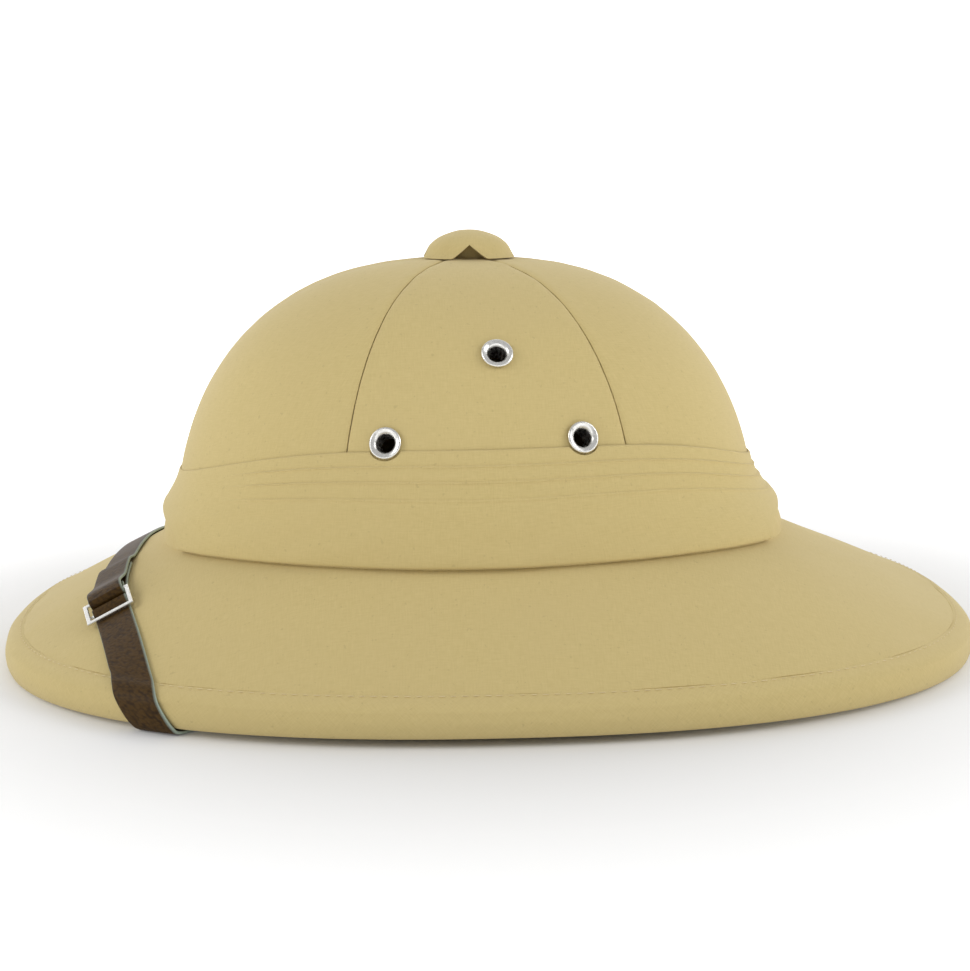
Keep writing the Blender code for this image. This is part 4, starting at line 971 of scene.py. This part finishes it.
def make_strap(name, stations):
    """A strap through rows across its two faces, with slightly rounded edges."""
    inner, outer = (smooth_path(np.array([station[side] for station in stations]), 6) for side in (0, 1))
    # Places across it, closer together at the edges, and how much of its thickness is rounded off there.
    places = np.array([-0.5, -0.485, -0.44, -0.3, -0.15, 0.0, 0.15, 0.3, 0.44, 0.485, 0.5])
    rounded = np.array([0.32, 0.12, 0.0, 0, 0, 0, 0, 0, 0.0, 0.12, 0.32])[None, :, None]
    parts = np.stack([2 * places * (places - 0.5), 1 - 4 * places ** 2, 2 * places * (places + 0.5)], 1)
    inner = np.einsum("ck,rkx->rcx", parts, inner)
    outer = np.einsum("ck,rkx->rcx", parts, outer)
    soft_outer = outer + (inner - outer) * rounded
    soft_inner = inner + (outer - inner) * rounded * 0.6
    points, faces = sheet_mesh(soft_outer, soft_inner)
    flat = np.stack(np.meshgrid(along_line(outer[:, 5]), places * STRAP_WIDTH, indexing="ij"), -1)
    hide = np.concatenate([flat, flat[:, ::-1]], 1)
    strap = make_piece(name, points, faces, LEATHER, hide, sharp_angle=60.0)
    raw = np.zeros(points.shape[:2], np.float32)
    raw[:, [0, 10, 11, 21]] = 1.0      # both edges of both faces
    raw[:, [9, 12]] = 0.55             # the rear edge shows its raw side wider
    raw[[0, -1]] = 1.0
    layer = strap.data.attributes.new("raw_edge", "FLOAT", "POINT")
    layer.data.foreach_set("value", raw.ravel())
    return strap


BUCKLE_PLACE = buckle_frame()
flat = STRAP_LIFT + LEATHER_THICKNESS / 2
over_bar = MIDDLE_BAR_HEIGHT + BUCKLE_SHEET / 2 + 0.5 * MM + LEATHER_THICKNESS / 2
rim_way = wrap_stations(72 * MM)
rim_way += hidden_stations(rim_way[-1])
# The left length, from its tail under the right one: over the buckle's middle bar and on to the rim.
left_way = [strap_station(x, flat) for x in (26 * MM, 36 * MM, 46 * MM)]
left_way.append(buckle_station(-BUCKLE_HALF_PITCH + 0.9 * MM, flat))
left_way += [buckle_station(ahead, over_bar) for ahead in (-1.6 * MM, 0.6 * MM)]
left_way.append(buckle_station(BUCKLE_HALF_PITCH - 1.5 * MM, flat))
left_way.append(strap_station(BUCKLE_X + BUCKLE_HALF_PITCH + MM, flat))
# The right length, from its end folded under the buckle's rear bar: round the bar, over the left one's tail
# and down onto the brim.
over_tail = flat + LEATHER_THICKNESS + GAP
corner = np.array([BUCKLE_BAR, BUCKLE_SHEET]) / 2
round_corner = GAP + 0.1 * MM + LEATHER_THICKNESS / 2
under_bar = BACK_BAR_HEIGHT - corner[1] - round_corner
right_way = [buckle_station(-BUCKLE_HALF_PITCH - 8 * MM, under_bar, -math.pi)]
for quarter, turns in ((-1, (-1.0, -0.75, -0.5)), (1, (-0.5, -0.25, 0.0))):
    for turn in np.array(turns) * math.pi:
        ahead = -BUCKLE_HALF_PITCH + corner[0] - round_corner * math.sin(turn)
        height = BACK_BAR_HEIGHT + quarter * corner[1] + round_corner * math.cos(turn)
        right_way.append(buckle_station(ahead, height, turn))
right_way.append(buckle_station(-BUCKLE_HALF_PITCH - 5 * MM, BACK_BAR_HEIGHT + corner[1] + round_corner))
right_way.append(strap_station(42 * MM, over_tail + 0.3 * MM))
right_way += [strap_station(x, over_tail) for x in (33 * MM, 24 * MM)]
right_way += [strap_station(x * MM, flat) for x in (16, 4, -8, -20, -32, -45, -57, -68)]
mirrored_way = [[face * (-1, 1, 1) for face in station] for station in rim_way]
strap_left = make_strap("leather_strap_left", left_way + rim_way)
strap_right = make_strap("leather_strap_right", right_way + mirrored_way)
for side, strap in (("left", strap_left), ("right", strap_right)):
    drill(strap, [(*anchors[side], ANCHOR_HOLE, 3 * MM)], sides=24)
    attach(strap, "root")
    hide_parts(f"strap_{side}")

# ---- strap rivets --------------------------------------------------------------------------------------
# Plain domed rivets that hold the strap's ends inside the crown. They're out of the photo's sight.
head = LEATHER_THICKNESS / 2 + GAP
foot = -(LEATHER_THICKNESS / 2 + ANCHOR_GAP + SHELL_WALL - GAP)
rivet_section = ((0.8 * MM, head + 1.5 * MM), (2.2 * MM, head + 1.38 * MM), (3.6 * MM, head + 1.0 * MM),
                 (4.4 * MM, head + 0.45 * MM), (4.5 * MM, head), (1.5 * MM, head), (1.5 * MM, foot))
rivet_grid = turned(rivet_section, 40)
for side, (middle, into_hollow) in anchors.items():
    points, faces = close_ends(rivet_grid @ turn_to(into_hollow).T + middle)
    rivet = make_piece(f"tin_rivet_{side}", points, faces, TIN)
    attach(rivet, "root")
    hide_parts(f"strap_rivet_{side}")

# ---- buckle --------------------------------------------------------------------------------------------
# A three-bar slide pressed from bright sheet: a flat mitred frame over the strap, its middle bar dropped
# beneath the left length, which runs over it and under the two outer bars.
BUCKLE_HALF_WIDTH = 8.3 * MM
FRONT_BAR_HEIGHT = 2.45 * MM
BUCKLE_BEVEL = 0.2 * MM
BUCKLE_SLIDE = 0.45 * MM           # it has slid this far towards the strap's front edge
bar, sheet = BUCKLE_BAR, BUCKLE_SHEET
pitch = BUCKLE_HALF_PITCH
wide = BUCKLE_HALF_WIDTH
drop = (FRONT_BAR_HEIGHT + BACK_BAR_HEIGHT) / 2 - MIDDLE_BAR_HEIGHT


def bar_section(half_width, half_sheet, bevel):
    """Flat bar's section with bevelled corners: offsets across it and through its sheet."""
    a, b = half_width, half_sheet
    return np.array([(a, bevel - b), (a, b - bevel), (a - bevel, b), (bevel - a, b),
                     (-a, b - bevel), (-a, bevel - b), (bevel - a, -b), (a - bevel, -b)])


corners = np.array([(-pitch, -wide + bar / 2), (pitch, -wide + bar / 2), (pitch, wide - bar / 2),
                    (-pitch, wide - bar / 2)])
section = bar_section(bar / 2, sheet / 2, BUCKLE_BEVEL)
frame_grid = []
for x, y in corners:
    outward = np.array([np.sign(x), np.sign(y)])
    frame_grid.append([(x + outward[0] * u, y + outward[1] * u, w) for u, w in section])
frame_grid = np.array(frame_grid)
frame_quads = grid_quads(len(corners), len(section), True, True)
hoop_line = [(-wide + bar / 2, -sheet / 4), (-wide + bar / 2, -drop), (wide - bar / 2, -drop),
             (wide - bar / 2, -sheet / 4)]
hoop_grid = []
for index, (y, z) in enumerate(hoop_line):
    outward = np.sign(y)
    dip = 1.0 if index in (1, 2) else 0.0
    hoop_grid.append([(u, y + outward * w, z - dip * w)
                      for u, w in bar_section(bar / 2 - 0.02 * MM, sheet / 2, BUCKLE_BEVEL)])
hoop_points, hoop_quads = close_ends(np.array(hoop_grid))
middle = Matrix.Translation((0.0, -BUCKLE_SLIDE, (FRONT_BAR_HEIGHT + BACK_BAR_HEIGHT) / 2))
tilt = math.atan2(BACK_BAR_HEIGHT - FRONT_BAR_HEIGHT, 2 * pitch)
place = BUCKLE_PLACE @ middle @ Matrix.Rotation(tilt, 4, "Y")
frame_points = np.array([place @ Vector(point) for point in frame_grid.reshape(-1, 3)])
hoop_points = np.array([place @ Vector(point) for point in hoop_points])
buckle = make_piece("tin_buckle_frame", frame_points, frame_quads, TIN, sharp_angle=20.0)
hoop = make_piece("tin_buckle_hoop", hoop_points, hoop_quads, TIN, sharp_angle=20.0)
for piece in (buckle, hoop):
    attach(piece, "root")
    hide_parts("buckle")

# ---- stitches ------------------------------------------------------------------------------------------
# Topstitching in buff thread all round the rim's crease, holding the binding's fold to the brim.
STITCH_PITCH = 3.4 * MM
STITCH_LENGTH = 2.3 * MM
THREAD_RADIUS = 0.13 * MM
STITCH_INSET = 5.4 * MM            # from the rim's edge
STITCH_HEIGHT = 12.16 * MM         # over the rim's foot


def make_thread():
    material, tree, shader = start_material("buff_thread", 0.7)
    shader.inputs["Base Color"].default_value = (0.72, 0.60, 0.35, 1)
    return material


def stitch_tree():
    """Geometry nodes: one rounded stitch at each step along a line, a little uneven."""
    tree = bpy.data.node_groups.new("stitch_row", "GeometryNodeTree")
    sockets = (("Geometry", "Geometry"), ("Pitch", "Float"), ("Stitch length", "Float"),
               ("Thread radius", "Float"), ("Unevenness", "Float"), ("Seed", "Int"), ("Thread", "Material"))
    for name, kind in sockets:
        tree.interface.new_socket(name, in_out="INPUT", socket_type=f"NodeSocket{kind}")
    tree.interface.new_socket("Geometry", in_out="OUTPUT", socket_type="NodeSocketGeometry")
    given = tree.nodes.new("NodeGroupInput").outputs
    result = tree.nodes.new("NodeGroupOutput")
    line = add_node(tree, "GeometryNodeMeshToCurve", {"Mesh": given["Geometry"]})
    steps = add_node(tree, "GeometryNodeResampleCurve", {"Curve": line.outputs[0], "Length": given["Pitch"]},
                     mode="LENGTH")
    tangent = add_node(tree, "GeometryNodeInputTangent")
    heading = add_node(tree, "FunctionNodeAlignEulerToVector", {"Vector": tangent.outputs[0]}, axis="X")
    ball = add_node(tree, "GeometryNodeMeshUVSphere", {"Segments": 8, "Rings": 8, "Radius": 1.0})
    half = add_node(tree, "ShaderNodeMath", {0: given["Stitch length"], 1: 0.5}, operation="MULTIPLY")
    size = add_node(tree, "ShaderNodeCombineXYZ", {"X": half.outputs[0], "Y": given["Thread radius"],
                                                   "Z": given["Thread radius"]})
    shaped = add_node(tree, "GeometryNodeTransform", {"Geometry": ball.outputs[0], "Scale": size.outputs[0]})
    least = add_node(tree, "ShaderNodeMath", {0: 1.0, 1: given["Unevenness"]}, operation="SUBTRACT")
    uneven = add_node(tree, "FunctionNodeRandomValue", {2: least.outputs[0], 3: 1.0, "Seed": given["Seed"]},
                      data_type="FLOAT")
    placed = add_node(tree, "GeometryNodeInstanceOnPoints", {
        "Points": steps.outputs[0], "Instance": shaped.outputs[0], "Rotation": heading.outputs[0],
        "Scale": uneven.outputs[1]})
    real = add_node(tree, "GeometryNodeRealizeInstances", {"Geometry": placed.outputs[0]})
    smooth = add_node(tree, "GeometryNodeSetShadeSmooth", {"Geometry": real.outputs[0]})
    dressed = add_node(tree, "GeometryNodeSetMaterial", {"Geometry": smooth.outputs[0],
                                                         "Material": given["Thread"]})
    tree.links.new(dressed.outputs[0], result.inputs[0])
    return tree


THREAD = make_thread()
STITCHING = stitch_tree()


def sew(name, line, pitch, length, radius, seed):
    """A row of stitches along a line that closes on itself, as a plain mesh."""
    mesh = bpy.data.meshes.new(name)
    count = len(line)
    edges = [(k, (k + 1) % count) for k in range(count)]
    mesh.from_pydata(np.asarray(line).tolist(), edges, [])
    row = add_object(name, mesh)
    sewing = row.modifiers.new("stitches", "NODES")
    sewing.node_group = STITCHING
    settings = {"Pitch": pitch, "Stitch length": length, "Thread radius": radius, "Unevenness": 0.25,
                "Seed": seed, "Thread": THREAD}
    for item in STITCHING.interface.items_tree:
        if item.in_out == "INPUT" and item.name in settings:
            sewing[item.identifier] = settings[item.name]
    apply_modifiers(row)
    return row


crease_line = rim_rows([(STITCH_INSET, STITCH_HEIGHT)])[0]
crease_stitches = sew("rim_stitches", crease_line, STITCH_PITCH, STITCH_LENGTH, THREAD_RADIUS, 3)
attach(crease_stitches, "root")

# ---- floor, light and camera ---------------------------------------------------------------------------
# A white studio sweep that glows a little away from the hat, and two large soft lamps low at its front and
# back. The camera stands just above the crown's height at the wearer's left and looks slightly down.
sweep_look, sweep_tree, sweep_shader = start_material("white_sweep", 0.9)
sweep_shader.inputs["Base Color"].default_value = (0.8, 0.8, 0.8, 1)
sweep_shader.inputs["Emission Color"].default_value = (1, 1, 1, 1)
sweep_place = add_node(sweep_tree, "ShaderNodeTexCoord").outputs["Object"]
from_hat = add_node(sweep_tree, "ShaderNodeVectorMath", {0: sweep_place}, operation="LENGTH")
glow = spread(sweep_tree, from_hat.outputs["Value"], 0.13, 0.4, 0.0, 0.7)
sweep_tree.links.new(glow, sweep_shader.inputs["Emission Strength"])
bend = np.linspace(0, math.pi / 2, 13)
sweep_line = [(4.0, 0.0), *zip(-1.6 - 1.2 * np.sin(bend), 1.2 - 1.2 * np.cos(bend)), (-2.8, 4.0)]
sweep_grid = np.array([[(x, y, z) for y in (-4.0, 4.0)] for x, z in sweep_line])
mesh = bpy.data.meshes.new("table_top")
mesh.from_pydata(sweep_grid.reshape(-1, 3).tolist(), [],
                 grid_quads(len(sweep_line), 2, False, False)[:, ::-1].tolist())
mesh.shade_smooth()
mesh.materials.append(sweep_look)
floor = add_object("table_top", mesh)

world = bpy.data.worlds.new("white_room")
bpy.context.scene.world = world
world.use_nodes = True
world.node_tree.nodes["Background"].inputs["Color"].default_value = (1, 1, 1, 1)
world.node_tree.nodes["Background"].inputs["Strength"].default_value = 0.55


def add_lamp(name, place, target, size, watts):
    lamp = bpy.data.lights.new(name, "AREA")
    lamp.shape = "DISK"
    lamp.size = size
    lamp.energy = watts
    holder = add_object(name, lamp)
    holder.location = place
    holder.rotation_mode = "QUATERNION"
    holder.rotation_quaternion = (Vector(target) - Vector(place)).to_track_quat("-Z", "Y")


add_lamp("front_lamp", (0.5, -1.5, 0.9), (0, 0, 0.05), 1.0, 9)
add_lamp("back_lamp", (0.5, 1.5, 0.9), (0, 0, 0.05), 1.0, 10)

CAMERA_DISTANCE = 629.9 * MM
CAMERA_HEIGHT = 170.4 * MM
CAMERA_SWING = math.radians(2.0)   # forward of square to the hat's side
CAMERA_PAN = math.radians(-0.065)
CAMERA_PITCH = math.radians(10.54)
CAMERA_ROLL = math.radians(-0.69)
yaw = CAMERA_SWING + CAMERA_PAN
forward = Vector((-math.cos(yaw) * math.cos(CAMERA_PITCH), math.sin(yaw) * math.cos(CAMERA_PITCH),
                  -math.sin(CAMERA_PITCH)))
right = forward.cross(Vector((0, 0, 1))).normalized()
up = right.cross(forward)
right, up = (right * math.cos(CAMERA_ROLL) + up * math.sin(CAMERA_ROLL),
             up * math.cos(CAMERA_ROLL) - right * math.sin(CAMERA_ROLL))
camera = add_object("camera", bpy.data.cameras.new("camera"))
camera.data.lens = 64.99
camera.data.clip_start = 0.01
turn = Matrix((right, up, -forward)).transposed().to_4x4()
camera.matrix_world = Matrix.Translation((CAMERA_DISTANCE * math.cos(CAMERA_SWING),
                                          -CAMERA_DISTANCE * math.sin(CAMERA_SWING), CAMERA_HEIGHT)) @ turn
bpy.context.scene.camera = camera
bpy.context.scene.view_settings.view_transform = "Standard"
